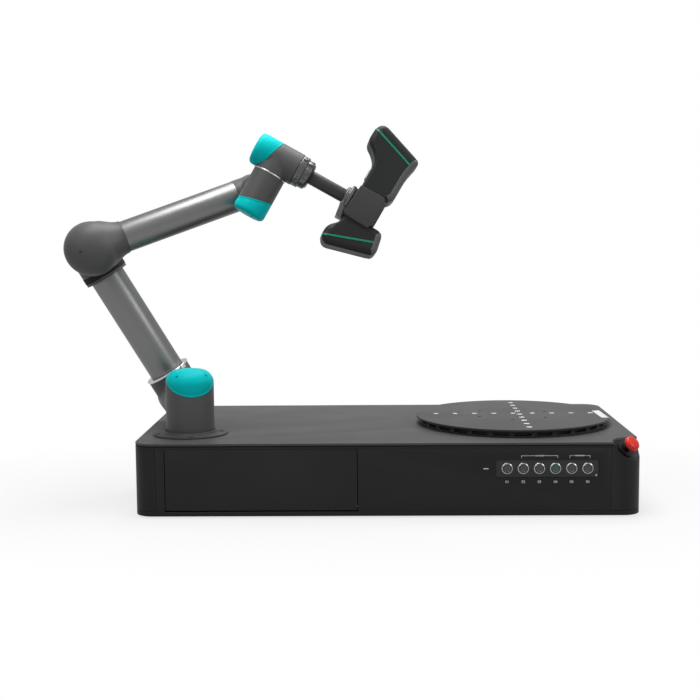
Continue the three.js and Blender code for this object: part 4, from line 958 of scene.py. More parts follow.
@dataclass
class Studio:
    """Pale floor, white surroundings and soft lamps.

    Args:
        floor_reach: Half the floor's side in metres.
        surroundings: Strength of the surroundings' light.
        mirrored: Share of the white surroundings that reflections show.
        shadow_share: How much of the floor's own shading the camera sees.
        fade: Distances in metres between which that share fades out.
        fade_stretch: Scale of those distances along the cabinet.
        floor_tone: Brightness of the floor that shows the shadow.
        floor_dull: Brightness of the floor as it lights the object.
        floor_roughness: Roughness of the floor.
        sky: Colour of the surroundings' light.
        lamps: Name, place, target, size and power of each lamp, in metres and watts.
    """

    floor_reach: float = 6.0
    surroundings: float = 0.16
    mirrored: float = 0.46
    shadow_share: float = 0.26
    fade: tuple[float, float] = (0.24, 0.62)
    fade_stretch: float = 0.55
    floor_tone: float = 0.9
    floor_dull: float = 0.36
    floor_roughness: float = 0.8
    sky: Colour = (0.96, 0.98, 1.0)
    lamps: tuple[tuple[str, tuple, tuple, tuple, float], ...] = (
        ("overhead_lamp", (-0.1, 0.05, 2.2), (0.0, 0.0, 0.2), (2.4, 1.0), 44.0),
        ("front_left_lamp", (-1.7, -2.2, 1.9), (0.0, 0.0, 0.25), (1.0, 1.2), 7.0),
        ("right_lamp", (2.0, -1.0, 1.4), (0.1, 0.0, 0.25), (0.8, 1.2), 10.0),
    )

    def build(self) -> None:
        """Makes the floor, the world and the lamps."""
        bpy.context.scene.view_settings.view_transform = "Standard"
        self._world()
        self._floor()
        for name, place, target, size, power in self.lamps:
            self._lamp(name, place, target, size, power)

    def _seen(self, tree: bpy.types.NodeTree) -> bpy.types.NodeSocket:
        """Adds how far a ray sees the white surroundings.

        Args:
            tree: Tree to add to.

        Returns:
            1 for the camera's and transmitted rays, a share for mirrored ones, otherwise 0.
        """
        path = tree.nodes.new("ShaderNodeLightPath")
        direct = add_node(tree, "ShaderNodeMath", links={
            0: path.outputs["Is Camera Ray"], 1: path.outputs["Is Transmission Ray"],
        }, operation="MAXIMUM")
        share = add_node(tree, "ShaderNodeMath", {1: self.mirrored}, {
            0: path.outputs["Is Glossy Ray"], 2: direct.outputs["Value"],
        }, operation="MULTIPLY_ADD", use_clamp=True)
        return share.outputs["Value"]

    def _world(self) -> None:
        """Lights the object softly and shows white to the camera, metal and glass."""
        world = bpy.data.worlds.new("white surroundings")
        bpy.context.scene.world = world
        world.use_nodes = True
        tree = world.node_tree
        tree.nodes.clear()
        soft = add_node(tree, "ShaderNodeBackground", {
            "Color": (*self.sky, 1), "Strength": self.surroundings})
        white = add_node(tree, "ShaderNodeBackground", {"Color": (1, 1, 1, 1)})
        mix = add_node(tree, "ShaderNodeMixShader", links={
            "Fac": self._seen(tree), 1: soft.outputs["Background"],
            2: white.outputs["Background"]})
        add_node(tree, "ShaderNodeOutputWorld", links={"Surface": mix.outputs["Shader"]})

    def _floor(self) -> None:
        """Makes a floor that looks white, keeps the soft shadow and lights the object little."""
        bm = bmesh.new()
        bmesh.ops.create_grid(bm, x_segments=1, y_segments=1, size=self.floor_reach)
        floor = added("floor", bm)
        made = bpy.data.materials.new("pale floor")
        made.use_nodes = True
        tree = made.node_tree
        shaded = tree.nodes["Principled BSDF"]
        shaded.inputs["Base Color"].default_value = (*[self.floor_tone] * 3, 1)
        shaded.inputs["Roughness"].default_value = self.floor_roughness
        dull = add_node(tree, "ShaderNodeBsdfDiffuse", {"Color": (*[self.floor_dull] * 3, 1)})
        glow = tree.nodes.new("ShaderNodeEmission")
        look = add_node(tree, "ShaderNodeMixShader", links={
            "Fac": self._shadow_share(tree), 1: glow.outputs["Emission"],
            2: shaded.outputs["BSDF"]})
        mix = add_node(tree, "ShaderNodeMixShader", links={
            "Fac": self._seen(tree), 1: dull.outputs["BSDF"], 2: look.outputs["Shader"]})
        tree.links.new(mix.outputs["Shader"], tree.nodes["Material Output"].inputs["Surface"])
        floor.data.materials.append(made)

    def _shadow_share(self, tree: bpy.types.NodeTree) -> bpy.types.NodeSocket:
        """Adds the share of the floor's shading, which fades out far from the object.

        Args:
            tree: Tree to add to.

        Returns:
            The share's socket.
        """
        place = tree.nodes.new("ShaderNodeTexCoord")
        narrow = add_node(
            tree, "ShaderNodeMapping", {"Scale": (self.fade_stretch, 1.0, 1.0)},
            {"Vector": place.outputs["Object"]})
        distance = add_node(
            tree, "ShaderNodeVectorMath", links={0: narrow.outputs["Vector"]}, operation="LENGTH")
        near, far = self.fade
        fade = add_node(tree, "ShaderNodeMapRange", {
            "From Min": near, "From Max": far, "To Min": self.shadow_share, "To Max": 0.0,
        }, {"Value": distance.outputs["Value"]}, interpolation_type="SMOOTHSTEP")
        return fade.outputs["Result"]

    @staticmethod
    def _lamp(name: str, place: tuple, target: tuple, size: tuple, power: float) -> None:
        """Adds one rectangular lamp.

        Args:
            name: Its name.
            place: Its place in metres.
            target: Point it looks at.
            size: Its two sides in metres.
            power: Its power in watts.
        """
        data = bpy.data.lights.new(name, "AREA")
        data.shape = "RECTANGLE"
        data.size, data.size_y = size
        data.energy = power
        lamp = bpy.data.objects.new(name, data)
        way = Vector(target) - Vector(place)
        facing_way = way.to_track_quat("-Z", "Y").to_matrix().to_4x4()
        lamp.matrix_world = Matrix.Translation(place) @ facing_way
        bpy.context.scene.collection.objects.link(lamp)


@dataclass
class Cabinet:
    """Sheet metal cabinet with its plate, flap, back and insides."""

    edges: dict[str, float] = field(default_factory=lambda: {
        "base_pan": 0.5, "left_end": 0.5, "right_end": 0.5, "top_frame": 0.7, "front_frame": 0.8,
        "access_flap": 1.2, "back_panel": 0.4, "socket_plate": 0.4, "estop_housing": 0.4,
    })
    plain: dict[str, tuple[Finish, float]] = field(default_factory=lambda: {
        "rubber_foot": (PALETTE.rubber_and_shade, 0.6), "flap_hinge_pin": (PALETTE.pin, 0.2),
        "button_board": (PALETTE.board, 0.2), "turntable_hub": (PALETTE.hub, 0.4),
        "turntable_drive": (PALETTE.drive, 0.6), "power_inlet": (PALETTE.plastic, 0.4),
        "power_rocker": (PALETTE.plastic, 0.6), "data_ports": (PALETTE.port, 0.4),
        "controller_box": (PALETTE.zinc, 0.6), "power_supply": (PALETTE.zinc, 0.6),
        "arm_base_joint": (PALETTE.housing, 0.6),
    })

    def build(self, shop: Workshop) -> None:
        """Builds all its pieces.

        Args:
            shop: Workshop that adds the pieces.
        """
        for node, edge in self.edges.items():
            shop.refined(node, PALETTE.cabinet, edge)
        for node, (finish, edge) in self.plain.items():
            shop.refined(node, finish, edge)
        shop.refined("top_plate", PALETTE.plate, 0.9, 4)


@dataclass
class ControlStrip:
    """Strip with six push buttons, their bezels and the plain marks round them."""

    centre: tuple[float, float] = (257.4, 79.8)
    face: float = -207.0
    count: int = 6
    lit: int = 3
    pitch: float = 25.8
    radius: float = 6.6
    length: float = 9.4
    bezel: float = 2.5
    bezel_height: float = 2.0
    bracket_height: float = 20.5
    label_drop: float = 23.5
    letter: float = 6.0
    pilot: Point2 = (78.0, -11.3)
    bar: tuple[float, float, float] = (-102.5, -94.5, 0.9)
    groups: tuple[tuple[int, int], ...] = ((1, 3), (4, 5))
    line: float = 0.7

    def build(self, shop: Workshop) -> None:
        """Builds the panel, the buttons and the marks.

        Args:
            shop: Workshop that adds the pieces.
        """
        shop.refined("button_panel", PALETTE.panel, 0.3)
        for i in range(self.count):
            self._button(shop, i)
        self._brackets(shop)
        self._numbers(shop)
        x, z = self.centre[0] + self.pilot[0], self.centre[1] + self.pilot[1]
        lens = eased([(0, -0.6), (1.5, -0.6), (1.5, 0.5), (0, 0.8)], 0.3)
        shop.piece(
            "pilot_light", Mesher.lathe(lens, 24), PALETTE.lettering, "cabinet",
            facing((x, self.face, z), (0, -1, 0)))

    def _x(self, index: float) -> float:
        """Returns the place of a button along the strip."""
        return self.centre[0] + (index - (self.count - 1) / 2) * self.pitch

    def _button(self, shop: Workshop, i: int) -> None:
        """Builds one button and its bezel.

        Args:
            shop: Workshop that adds the pieces.
            i: Number of the button, counted from 0.
        """
        front = -self.face + self.bezel_height + 0.3
        at = facing((self._x(i), 0, self.centre[1]), (0, -1, 0))
        r = self.radius
        cap = eased([
            (0, front - self.length), (r, front - self.length), (r, front - 0.5), (r - 0.6, front),
            (r * 0.78, front), (r * 0.7, front - 0.7), (0, front - 0.9),
        ], 0.35)
        finish = PALETTE.button_lit if i == self.lit else PALETTE.button
        shop.piece(
            f"button_{i + 1}_finished", Mesher.lathe(cap, 48), finish, f"push_button_{i + 1}", at,
            [f"button_{i + 1}"])
        inner, outer, top = r + 0.35, r + 0.3 + self.bezel, -self.face + self.bezel_height
        rim = [
            (inner, -self.face), (outer, -self.face), (outer - 0.1, top - 0.9),
            (inner + 0.5, top + 0.3),
        ]
        loop = eased_loop(rim, [0.2, 0.1, 0.8, 0.5], 5)
        shop.piece(
            f"bezel_{i + 1}", Mesher.lathe([*loop, loop[0]], 64), PALETTE.bezel, "cabinet", at)

    def _brackets(self, shop: Workshop) -> None:
        """Builds the fine lines that group the buttons and the bar beside the strip.

        Args:
            shop: Workshop that adds the pieces.
        """
        top, low = self.centre[1] + self.bracket_height, self.centre[1]
        start, end, half = self.bar
        bars = [(self.centre[0] + start, low - half, self.centre[0] + end, low + half)]
        line = self.line
        for first, last in self.groups:
            x0, x1 = self._x(first) - 3.5, self._x(last) + 3.5
            middle = (x0 + x1) / 2
            bars += [
                (x0, top, x1, top + line), (x0, top - 3.4, x0 + line, top),
                (x1 - line, top - 3.4, x1, top), (middle - 7, top - 0.6, middle + 7, top + 1.3),
            ]
        y = self.face - 1.15
        parts = [(Mesher.block((a, y, b), (c, y + 0.3, d), 0.1), STAY) for a, b, c, d in bars]
        shop.piece("group_lines", Mesher.join(parts), PALETTE.lettering, "cabinet")

    def _numbers(self, shop: Workshop) -> None:
        """Builds the plain numbers under the buttons.

        Args:
            shop: Workshop that adds the pieces.
        """
        parts = []
        for i in range(self.count):
            curve = bpy.data.curves.new("number", "FONT")
            curve.body = f"{i + 1:02d}"
            curve.size, curve.extrude, curve.offset = self.letter, 0.12, 0.06
            curve.align_x = "CENTER"
            holder = bpy.data.objects.new("number", curve)
            bpy.context.scene.collection.objects.link(holder)
            graph = bpy.context.evaluated_depsgraph_get()
            mesh = bpy.data.meshes.new_from_object(holder.evaluated_get(graph))
            bm = bmesh.new()
            bm.from_mesh(mesh)
            bpy.data.objects.remove(holder)
            at = shift(self._x(i), self.face - 1.05, self.centre[1] - self.label_drop)
            parts.append((bm, at @ turn("X", 90)))
        shop.piece("button_numbers", Mesher.join(parts), PALETTE.lettering, "cabinet", sharp=30)


@dataclass
class EmergencyStop:
    """Red stop button in the scoop of the cabinet's corner."""

    centre: tuple[float, float, float] = (395.0, -193.0, 117.0)
    axis: tuple[float, float, float] = (0.5, -0.62, 0.6)
    radius: float = 13.0
    height: float = 12.0
    stem_radius: float = 6.0
    stem_length: float = 21.0
    stem_seat: float = 6.0
    collar: tuple[float, float, float] = (12.0, -12.5, -9.5)

    def build(self, shop: Workshop) -> None:
        """Builds the mushroom, its stem and the ring round the stem.

        Args:
            shop: Workshop that adds the pieces.
        """
        at = facing(self.centre, self.axis)
        r, half = self.radius, self.height / 2
        profile = eased([
            (0, -half), (r - 3.2, -half), (r - 0.6, -half + 2.6), (r, -half + 4.6),
            (r * 0.93, half - 2.6), (r * 0.7, half - 0.7), (r * 0.35, half - 0.1), (0, half),
        ], 2.2, 6, 8)
        shop.piece(
            "stop_mushroom_cap", Mesher.lathe(profile, 64), PALETTE.red, "stop_mushroom", at,
            ["estop_head"])
        back = -half + self.stem_seat - self.stem_length
        stem = Mesher.rod(self.stem_radius, back, -half + self.stem_seat, 0.5, 48)
        shop.piece("stop_stem", stem, PALETTE.plastic, "stop_plunger", at, ["estop_stem"])
        outer, low, high = self.collar
        collar = Mesher.tube(self.stem_radius + 0.6, outer, -half + low, -half + high, 0.8, 64)
        shop.piece("stop_collar", collar, PALETTE.plastic, "cabinet", at)


@dataclass
class Turntable:
    """Round table with its rows of marks, on a slotted ring."""

    centre_x: float = 224.0
    radius: float = 169.0
    bottom: float = 131.2
    top: float = 135.8
    row: tuple[float, float, float, int] = (90.0, 363.0, 8.0, 9)
    column: tuple[float, float, float, int] = (-140.0, 134.6, 236.6, 9)
    row_radius: float = 4.6
    column_radius: float = 5.0
    label: tuple[float, float, float, float] = (378.0, -6.0, 13.0, 80.0)
    label_turn: float = 2.0
    screws: tuple[int, float, float, float] = (6, 66.0, 24.0, 2.8)

    def build(self, shop: Workshop) -> None:
        """Builds the disc, its marks and the ring under it.

        Args:
            shop: Workshop that adds the pieces.
        """
        at = shift(self.centre_x, 0, 0) @ turn("Y", -90)
        r = self.radius
        disc = eased([
            (0, self.bottom), (r - 2.5, self.bottom), (r, self.bottom + 1.4), (r, self.top),
            (0, self.top),
        ], 0.7, 5)
        shop.piece(
            "turntable_plate", Mesher.lathe(disc, 192), PALETTE.table, "turntable", at,
            ["turntable_disc"])
        shop.refined("turntable_base_ring", PALETTE.ring, 0.4)
        parts = []
        start, end, across, count = self.row
        for i in range(count):
            along = start + (end - start) * i / (count - 1)
            parts.append(self._mark(along, across, self.row_radius))
        start, end, across, count = self.column
        for i in range(count):
            along = start + (end - start) * i / (count - 1)
            parts.append(self._mark(across, along, self.column_radius))
        shop.piece("table_marks", Mesher.join(parts), PALETTE.marks, "turntable")
        count, circle, first, head = self.screws
        for i in range(count):
            x, y = around(circle, first + 360 / count * i)
            place = facing((self.centre_x + x, y, self.top), (0, 0, 1))
            shop.screw(f"table_screw_{i + 1}", place, "turntable", head)
        x, y, wide, long = self.label
        label = Mesher.block((-wide / 2, -long / 2, -0.1), (wide / 2, long / 2, 0.15), 0.05)
        frame = shift(x, y, self.top) @ turn("Z", self.label_turn)
        shop.piece("plain_label", label, PALETTE.marks, "turntable", frame)

    def _mark(self, x: float, y: float, radius: float) -> tuple[bmesh.types.BMesh, Matrix]:
        """Makes one thin round mark on the table's top.

        Args:
            x: Place along the cabinet.
            y: Place across the cabinet.
            radius: Radius of the mark.

        Returns:
            The mark and its frame.
        """
        low, high = -0.1, 0.18
        line = eased([(0, low), (radius, low), (radius, high), (0, high)], 0.1, 2)
        mark = Mesher.lathe(line, 24)
        return mark, facing((x, y, self.top), (0, 0, 1))


@dataclass
class ArmPose:
    """Frames of the arm's links at rest, in millimetres."""

    foot: tuple[float, float, float] = (-330.5, -105.5, 0.0)
    turn_degrees: float = 16.0
    shoulder_height: float = 173.6
    shoulder_offset: float = 90.0
    upper_length: float = 303.4
    upper_angle: float = 120.55
    elbow_offset: float = 72.0
    fore_length: float = 291.5
    fore_angle: float = 19.41
    wrist_offset: float = 60.0
    wrist_angle: float = 59.71
    wrist_step: float = 55.1
    wrist_turn: float = 13.7
    tool_roll: float = 4.4
    scanner_distance: float = 168.1
    scanner_rise: float = 31.0
    scanner_tilt: float = 1.1

    def __post_init__(self) -> None:
        """Works out the frames one from the other."""
        self.base = Matrix.Translation(self.foot) @ turn("Z", self.turn_degrees)
        self.upper = (
            self.base @ shift(0, self.shoulder_offset, self.shoulder_height)
            @ turn("Y", -self.upper_angle))
        self.fore = (
            self.upper @ shift(self.upper_length, -self.elbow_offset, 0)
            @ turn("Y", self.upper_angle - self.fore_angle))
        self.wrist_1 = (
            self.fore @ shift(self.fore_length, -self.wrist_offset, 0)
            @ turn("Y", self.fore_angle - self.wrist_angle))
        self.wrist_2 = (
            self.wrist_1 @ shift(self.wrist_step, 0, 0) @ turn("Y", 90)
            @ turn("Z", -self.wrist_turn))
        self.tool = self.wrist_2 @ turn("X", -self.tool_roll)
        self.scanner = (
            self.tool @ shift(self.scanner_distance, 0, self.scanner_rise)
            @ turn("Y", self.scanner_tilt))


ALONG_Y = Matrix.Rotation(math.radians(90), 4, "Z")
ALONG_Z = Matrix.Rotation(math.radians(-90), 4, "Y")


def cap_profile(
    radius: float, mouth: float, end: float, edge: float, wall: float = 2.5, lip: float = 2.6
) -> list[Point2]:
    """Profile of a hollow round cap with a soft outer edge, a lip at its mouth and a crowned end.

    Args:
        radius: Outer radius.
        mouth: Place of its open mouth.
        end: Place of its closed end.
        edge: Size of the soft edge.
        wall: Wall thickness.
        lip: Width of the lip, 0 for none.

    Returns:
        Closed profile of radius and place.
    """
    way = 1.0 if end > mouth else -1.0
    fullness = 0.85
    soft = []
    for i in range(13):
        a = math.pi / 2 * i / 12
        across, along = (1 - f(a) ** fullness for f in (math.cos, math.sin))
        soft.append((radius - edge * across, end - way * edge * along))
    soft[-1] = (radius - edge, end)
    inner = radius - wall
    rim = [(radius - 0.5, mouth), (radius, mouth + way * 0.5)]
    if lip:
        rim += [
            (radius, mouth + way * lip), (radius - 0.7, mouth + way * (lip + 0.3)),
            (radius - 0.7, mouth + way * (lip + 0.8)), (radius - 0.1, mouth + way * (lip + 1.1)),
        ]
    return [
        (0, end - way * wall), (inner - edge / 2, end - way * wall),
        (inner, end - way * (edge / 2 + wall)), (inner, mouth), *rim, *soft, (0, end + way * 0.4),
    ]


@dataclass
class ArmFoot:
    """Trim ring and shoulder of the arm."""

    pose: ArmPose
    ring_radius: float = 63.5
    ring_bottom: float = 122.3
    ring_top: float = 124.8
    lip: tuple[float, float, float] = (41.2, 46.5, 128.6)
    ring_inset: float = 11.0
    ring_screws: tuple[Point2, ...] = ((-172, 56.5), (-11, 51.5), (79, 53), (-96, 54))
    ring_screw_head: float = 5.0
    column_radius: float = 40.5
    edge_start: float = 208.0
    edge: float = 23.0
    crown: float = 2.0
    stub_radius: float = 39.5
    stub_end: float = 50.5
    cap_tilt: float = 32.0
    cap_height: float = 213.5
    wall: float = 2.5
    cap_screws: tuple[Point2, ...] = ((-24.5, -25.5), (24.5, -25.5))
    melt: tuple[float, int] = (1.2, 10)

    def build(self, shop: Workshop) -> None:
        """Builds the trim ring, the shoulder housing and its cap.

        Args:
            shop: Workshop that adds the pieces.
        """
        base = self.pose.base
        inner, outer, high = self.lip
        hidden = inner - self.ring_inset
        ring = eased_loop([
            (hidden, self.ring_bottom), (self.ring_radius, self.ring_bottom),
            (self.ring_radius, self.ring_top), (outer, self.ring_top), (outer - 1.5, high),
            (inner, high), (inner, self.ring_top), (hidden, self.ring_top),
        ], [0.3, 0.3, 0.9, 1.6, 0.9, 0.4, 0.2, 0.2], 4)
        shop.piece(
            "arm_trim_ring", Mesher.lathe([*ring, ring[0]], 128), PALETTE.ring, "cabinet",
            base @ ALONG_Z, ["arm_flange_ring"])
        for i, (degrees, r) in enumerate(self.ring_screws):
            at = base @ facing((*around(r, degrees), self.ring_top), (0, 0, 1))
            shop.screw(f"arm_ring_screw_{i + 1}", at, "cabinet", self.ring_screw_head)
        bottom, wide = self.ring_top + 0.3, self.column_radius
        column = Mesher.lathe(
            [(0, bottom), (wide - 0.6, bottom), (wide, bottom + 8), *self._top()])
        reach = self.stub_end + OVERRUN
        stub = Mesher.lathe([(0, 0), (self.stub_radius, 0), (self.stub_radius, reach), (0, reach)])
        level = shift(0, 0, self.pose.shoulder_height) @ ALONG_Y
        casting = shop.cast(Mesher.join([(column, ALONG_Z), (stub, level)]), *self.melt)
        tilt = math.radians(self.cap_tilt)
        normal = Vector((0, -math.sin(tilt), math.cos(tilt)))
        housing = Mesher.sliced(casting, (0, 0, self.cap_height), normal)
        Mesher.sliced(housing, (0, self.stub_end, 0), (0, 1, 0))
        Mesher.sliced(housing, (0, 0, bottom), (0, 0, -1))
        shop.piece(
            "shoulder_casting", housing, PALETTE.housing, "shoulder", base, ["shoulder_housing"])
        cap = Mesher.slanted_cap(self._shell, Vector((0, 0, self.cap_height)), normal)
        shop.piece(
            "shoulder_cap_shell", cap, PALETTE.teal, "shoulder", base, ["shoulder_cap"], bevel=0.3)
        for i, (x, y) in enumerate(self.cap_screws):
            share = 1 - (self.column_radius - math.hypot(x, y)) / self.edge
            rise = math.sin(math.acos(share))
            out = Vector((x, y, 0)).normalized() * share + Vector((0, 0, rise))
            at = base @ facing((x, y, self.edge_start + self.edge * rise), out)
            shop.screw(f"shoulder_cap_screw_{i + 1}", at, "shoulder", 2.0)

    def _top(self, grow: float = 0.0) -> list[Point2]:
        """Draws the column's rounded top.

        Args:
            grow: How far it is grown, in millimetres.

        Returns:
            Points of radius and height.
        """
        radius, edge = self.column_radius + grow, self.edge + grow
        points = []
        for i in range(19):
            a = math.pi / 2 * i / 18
            points.append((radius - edge * (1 - math.cos(a)), self.edge_start + edge * math.sin(a)))
        top = self.edge_start + edge
        return [*points, ((radius - edge) / 2, top + self.crown * 0.7), (0, top + self.crown)]

    def _shell(self, grow: float) -> bmesh.types.BMesh:
        """Makes the whole hollow top.

        Args:
            grow: How far its outside is grown, in millimetres.

        Returns:
            The top.
        """
        low = self.cap_height - 40
        inside = [*reversed(self._top(-self.wall)), (self.column_radius - self.wall, low)]
        shell = Mesher.lathe([*inside, (self.column_radius + grow, low), *self._top(grow)])
        shell.transform(ALONG_Z)
        return shell


@dataclass
class UpperArm:
    """Two barrels joined by a tube, with a bright collar and two caps."""

    pose: ArmPose
    barrel: float = 40.5
    half: float = 39.0
    lower_neck: tuple[float, float] = (38.0, 50.0)
    upper_neck: tuple[float, float] = (38.0, 56.0)
    collar: tuple[float, float, float] = (39.5, 50.3, 54.0)
    tube: float = 30.0
    tube_inner: float = 26.2
    lug_turns: Point2 = (40, 220)
    cap_height: float = 14.0
    cap_edge: float = 9.0
    cap_screw_circle: float = 25.0
    melt: tuple[float, int] = (1.2, 10)

    def build(self, shop: Workshop) -> None:
        """Builds its castings, collar, tube and caps.

        Args:
            shop: Workshop that adds the pieces.
        """
        at, length = self.pose.upper, self.pose.upper_length
        neck, tip = self.lower_neck
        lower = shop.cast(Mesher.join([
            (self._barrel(), ALONG_Y), (Mesher.rod(neck, 0, tip + OVERRUN), STAY),
        ]), *self.melt)
        self._finish(shop, "upper_arm_lower_casting", lower, tip, 1, "upper_arm_lower_housing")
        neck, tip = self.upper_neck
        upper = shop.cast(Mesher.join([
            (self._barrel(), shift(length, 0, 0) @ ALONG_Y),
            (Mesher.rod(neck, length - tip - OVERRUN, length), STAY),
        ]), *self.melt)
        end = length - tip
        self._finish(shop, "upper_arm_upper_casting", upper, end, -1, "upper_arm_upper_housing")
        radius, start, stop = self.collar
        shop.piece(
            "upper_arm_collar_ring", Mesher.tube(self.tube_inner, radius, start, stop, 0.9),
            PALETTE.collar, "upper_arm", at, ["upper_arm_collar"])
        for i, angle in enumerate(self.lug_turns):
            lug = Mesher.block(
                (start - 4.5, radius - 3.5, -5.5), (stop + 0.6, radius + 2.4, 5.5), 1.4)
            frame = at @ turn("X", angle)
            shop.piece(f"collar_lug_{i + 1}", lug, PALETTE.collar, "upper_arm", frame)
            face = at @ turn("X", angle) @ facing((stop + 0.5, radius - 0.5, 0), (1, 0, 0))
            shop.screw(f"collar_screw_{i + 1}", face, "upper_arm", 1.6)
        shop.piece(
            "upper_arm_tube_skin",
            Mesher.tube(self.tube_inner, self.tube, stop + 0.3, end - 0.3, 0.4), PALETTE.tube,
            "upper_arm", at, ["upper_arm_tube"])
        # Black band round the tube just under the elbow: painted shade, a dark ring put where the
        # elbow casts its shadow on the collar.
        shade_band = Mesher.tube(neck - 3, neck + 0.5, end + 4.5, end + 15, 0.4)
        shop.piece("elbow_shade_band", shade_band, PALETTE.rubber_and_shade, "upper_arm", at)
        mouth = self.half + 0.3
        for name, x in (("lower", 0.0), ("upper", length)):
            top = mouth + self.cap_height
            cap = Mesher.lathe(cap_profile(self.barrel, mouth, top, self.cap_edge))
            frame = at @ shift(x, 0, 0) @ ALONG_Y
            shop.piece(
                f"upper_arm_{name}_cap_shell", cap, PALETTE.teal, "upper_arm", frame,
                [f"upper_arm_{name}_cap"])
            for i in range(3):
                spot = (top + 0.2, *around(self.cap_screw_circle, 90 + 120 * i))
                shop.screw(
                    f"upper_arm_{name}_cap_screw_{i + 1}", frame @ facing(spot, (1, 0, 0)),
                    "upper_arm", 1.8)

    def _barrel(self) -> bmesh.types.BMesh:
        """Returns the raw barrel of one joint."""
        return Mesher.barrel(self.barrel, self.half, 2.5)

    def _finish(
        self, shop: Workshop, name: str, casting: bmesh.types.BMesh, end: float, way: int, node: str
    ) -> None:
        """Cuts a casting flat at its tube and cap sides and adds it.

        Args:
            shop: Workshop that adds it.
            name: Name of the piece.
            casting: The raw casting.
            end: Place of the tube's side.
            way: Side of that place that is cut away, 1 or -1.
            node: CAD node it stands for.
        """
        Mesher.sliced(casting, (end, 0, 0), (way, 0, 0))
        Mesher.sliced(casting, (0, self.half, 0), (0, 1, 0))
        shop.piece(name, casting, PALETTE.housing, "upper_arm", self.pose.upper, [node])


@dataclass
class Forearm:
    """Round elbow, bright tube and wrist end."""

    pose: ArmPose
    joint_face: float = 32.5
    elbow: float = 45.0
    bulge_start: float = -11.0
    dome: float = 36.0
    face_radius: float = 39.5
    shoulder: float = 16.0
    sleeve: tuple[float, float, float, float] = (41.0, 16.0, 27.5, 57.0)
    tube: float = 26.0
    end_radius: float = 26.8
    end_half: float = 30.0
    end_neck: tuple[float, float] = (26.4, 34.0)
    tube_inner: float = 22.6
    cap_height: float = 14.0
    cap_edge: float = 8.0
    screw_spot: tuple[float, float, float] = (-20.2, -32.0, 2.9)
    screw_way: tuple[float, float, float] = (-0.373, -0.926, 0.053)
    elbow_melt: tuple[float, int] = (1.2, 12)
    end_melt: tuple[float, int] = (1.0, 8)

    def build(self, shop: Workshop) -> None:
        """Builds its castings, tube and cap.

        Args:
            shop: Workshop that adds the pieces.
        """
        at, length = self.pose.fore, self.pose.fore_length
        elbow = shop.cast(
            Mesher.join([(self._bulb(), ALONG_Y), (self._sleeve(), STAY)]), *self.elbow_melt)
        Mesher.sliced(elbow, (0, self.joint_face, 0), (0, 1, 0))
        Mesher.sliced(elbow, (self.sleeve[3], 0, 0), (1, 0, 0))
        shop.piece("elbow_casting", elbow, PALETTE.housing, "forearm", at, ["elbow_housing"])
        end = length - self.end_neck[1]
        shop.piece(
            "forearm_tube_skin",
            Mesher.tube(self.tube_inner, self.tube, self.sleeve[3] + 0.3, end - 0.3, 0.4),
            PALETTE.tube, "forearm", at, ["forearm_tube"])
        r, h = self.end_radius, self.end_half
        neck = Mesher.rod(self.end_neck[0], end - OVERRUN, length)
        raw = [(Mesher.barrel(r, h, 2), shift(length, 0, 0) @ ALONG_Y), (neck, STAY)]
        casting = shop.cast(Mesher.join(raw), *self.end_melt)
        Mesher.sliced(casting, (end, 0, 0), (-1, 0, 0))
        Mesher.sliced(casting, (0, h, 0), (0, 1, 0))
        shop.piece(
            "forearm_end_casting", casting, PALETTE.housing, "forearm", at,
            ["forearm_end_housing"])
        mouth = h + 0.3
        cap = Mesher.lathe(cap_profile(r, mouth, mouth + self.cap_height, self.cap_edge))
        frame = at @ shift(length, 0, 0) @ ALONG_Y
        shop.piece(
            "forearm_end_cap_shell", cap, PALETTE.teal, "forearm", frame, ["forearm_end_cap"])
        x, y, z = self.screw_spot
        spot = facing((x, self.bulge_start + y, z), self.screw_way)
        shop.screw("elbow_screw", at @ spot, "forearm", 2.0)

    def _bulb(self) -> bmesh.types.BMesh:
        """Makes the elbow's round body.

        Returns:
            The body along X.
        """
        top = self.joint_face + OVERRUN
        points = [
            (0, top), (self.face_radius, top), (self.face_radius, self.joint_face),
            (self.elbow, self.joint_face - self.shoulder),
        ]
        for i in range(17):
            a = math.pi / 2 * i / 16
            points.append((self.elbow * math.cos(a), self.bulge_start - self.dome * math.sin(a)))
        points[-1] = (0.0, self.bulge_start - self.dome)
        return Mesher.lathe(points)

    def _sleeve(self) -> bmesh.types.BMesh:
        """Makes the neck that swells towards the elbow.

        Returns:
            The neck along X.
        """
        root, start, tip, end = self.sleeve
        points = [(0, 0), (root, 0)]
        for i in range(17):
            ease = (1 + math.cos(math.pi * i / 16)) / 2
            points.append((tip + (root - tip) * ease, start + (end - start) * i / 16))
        return Mesher.lathe([*points, (tip, end + OVERRUN), (0, end + OVERRUN)])


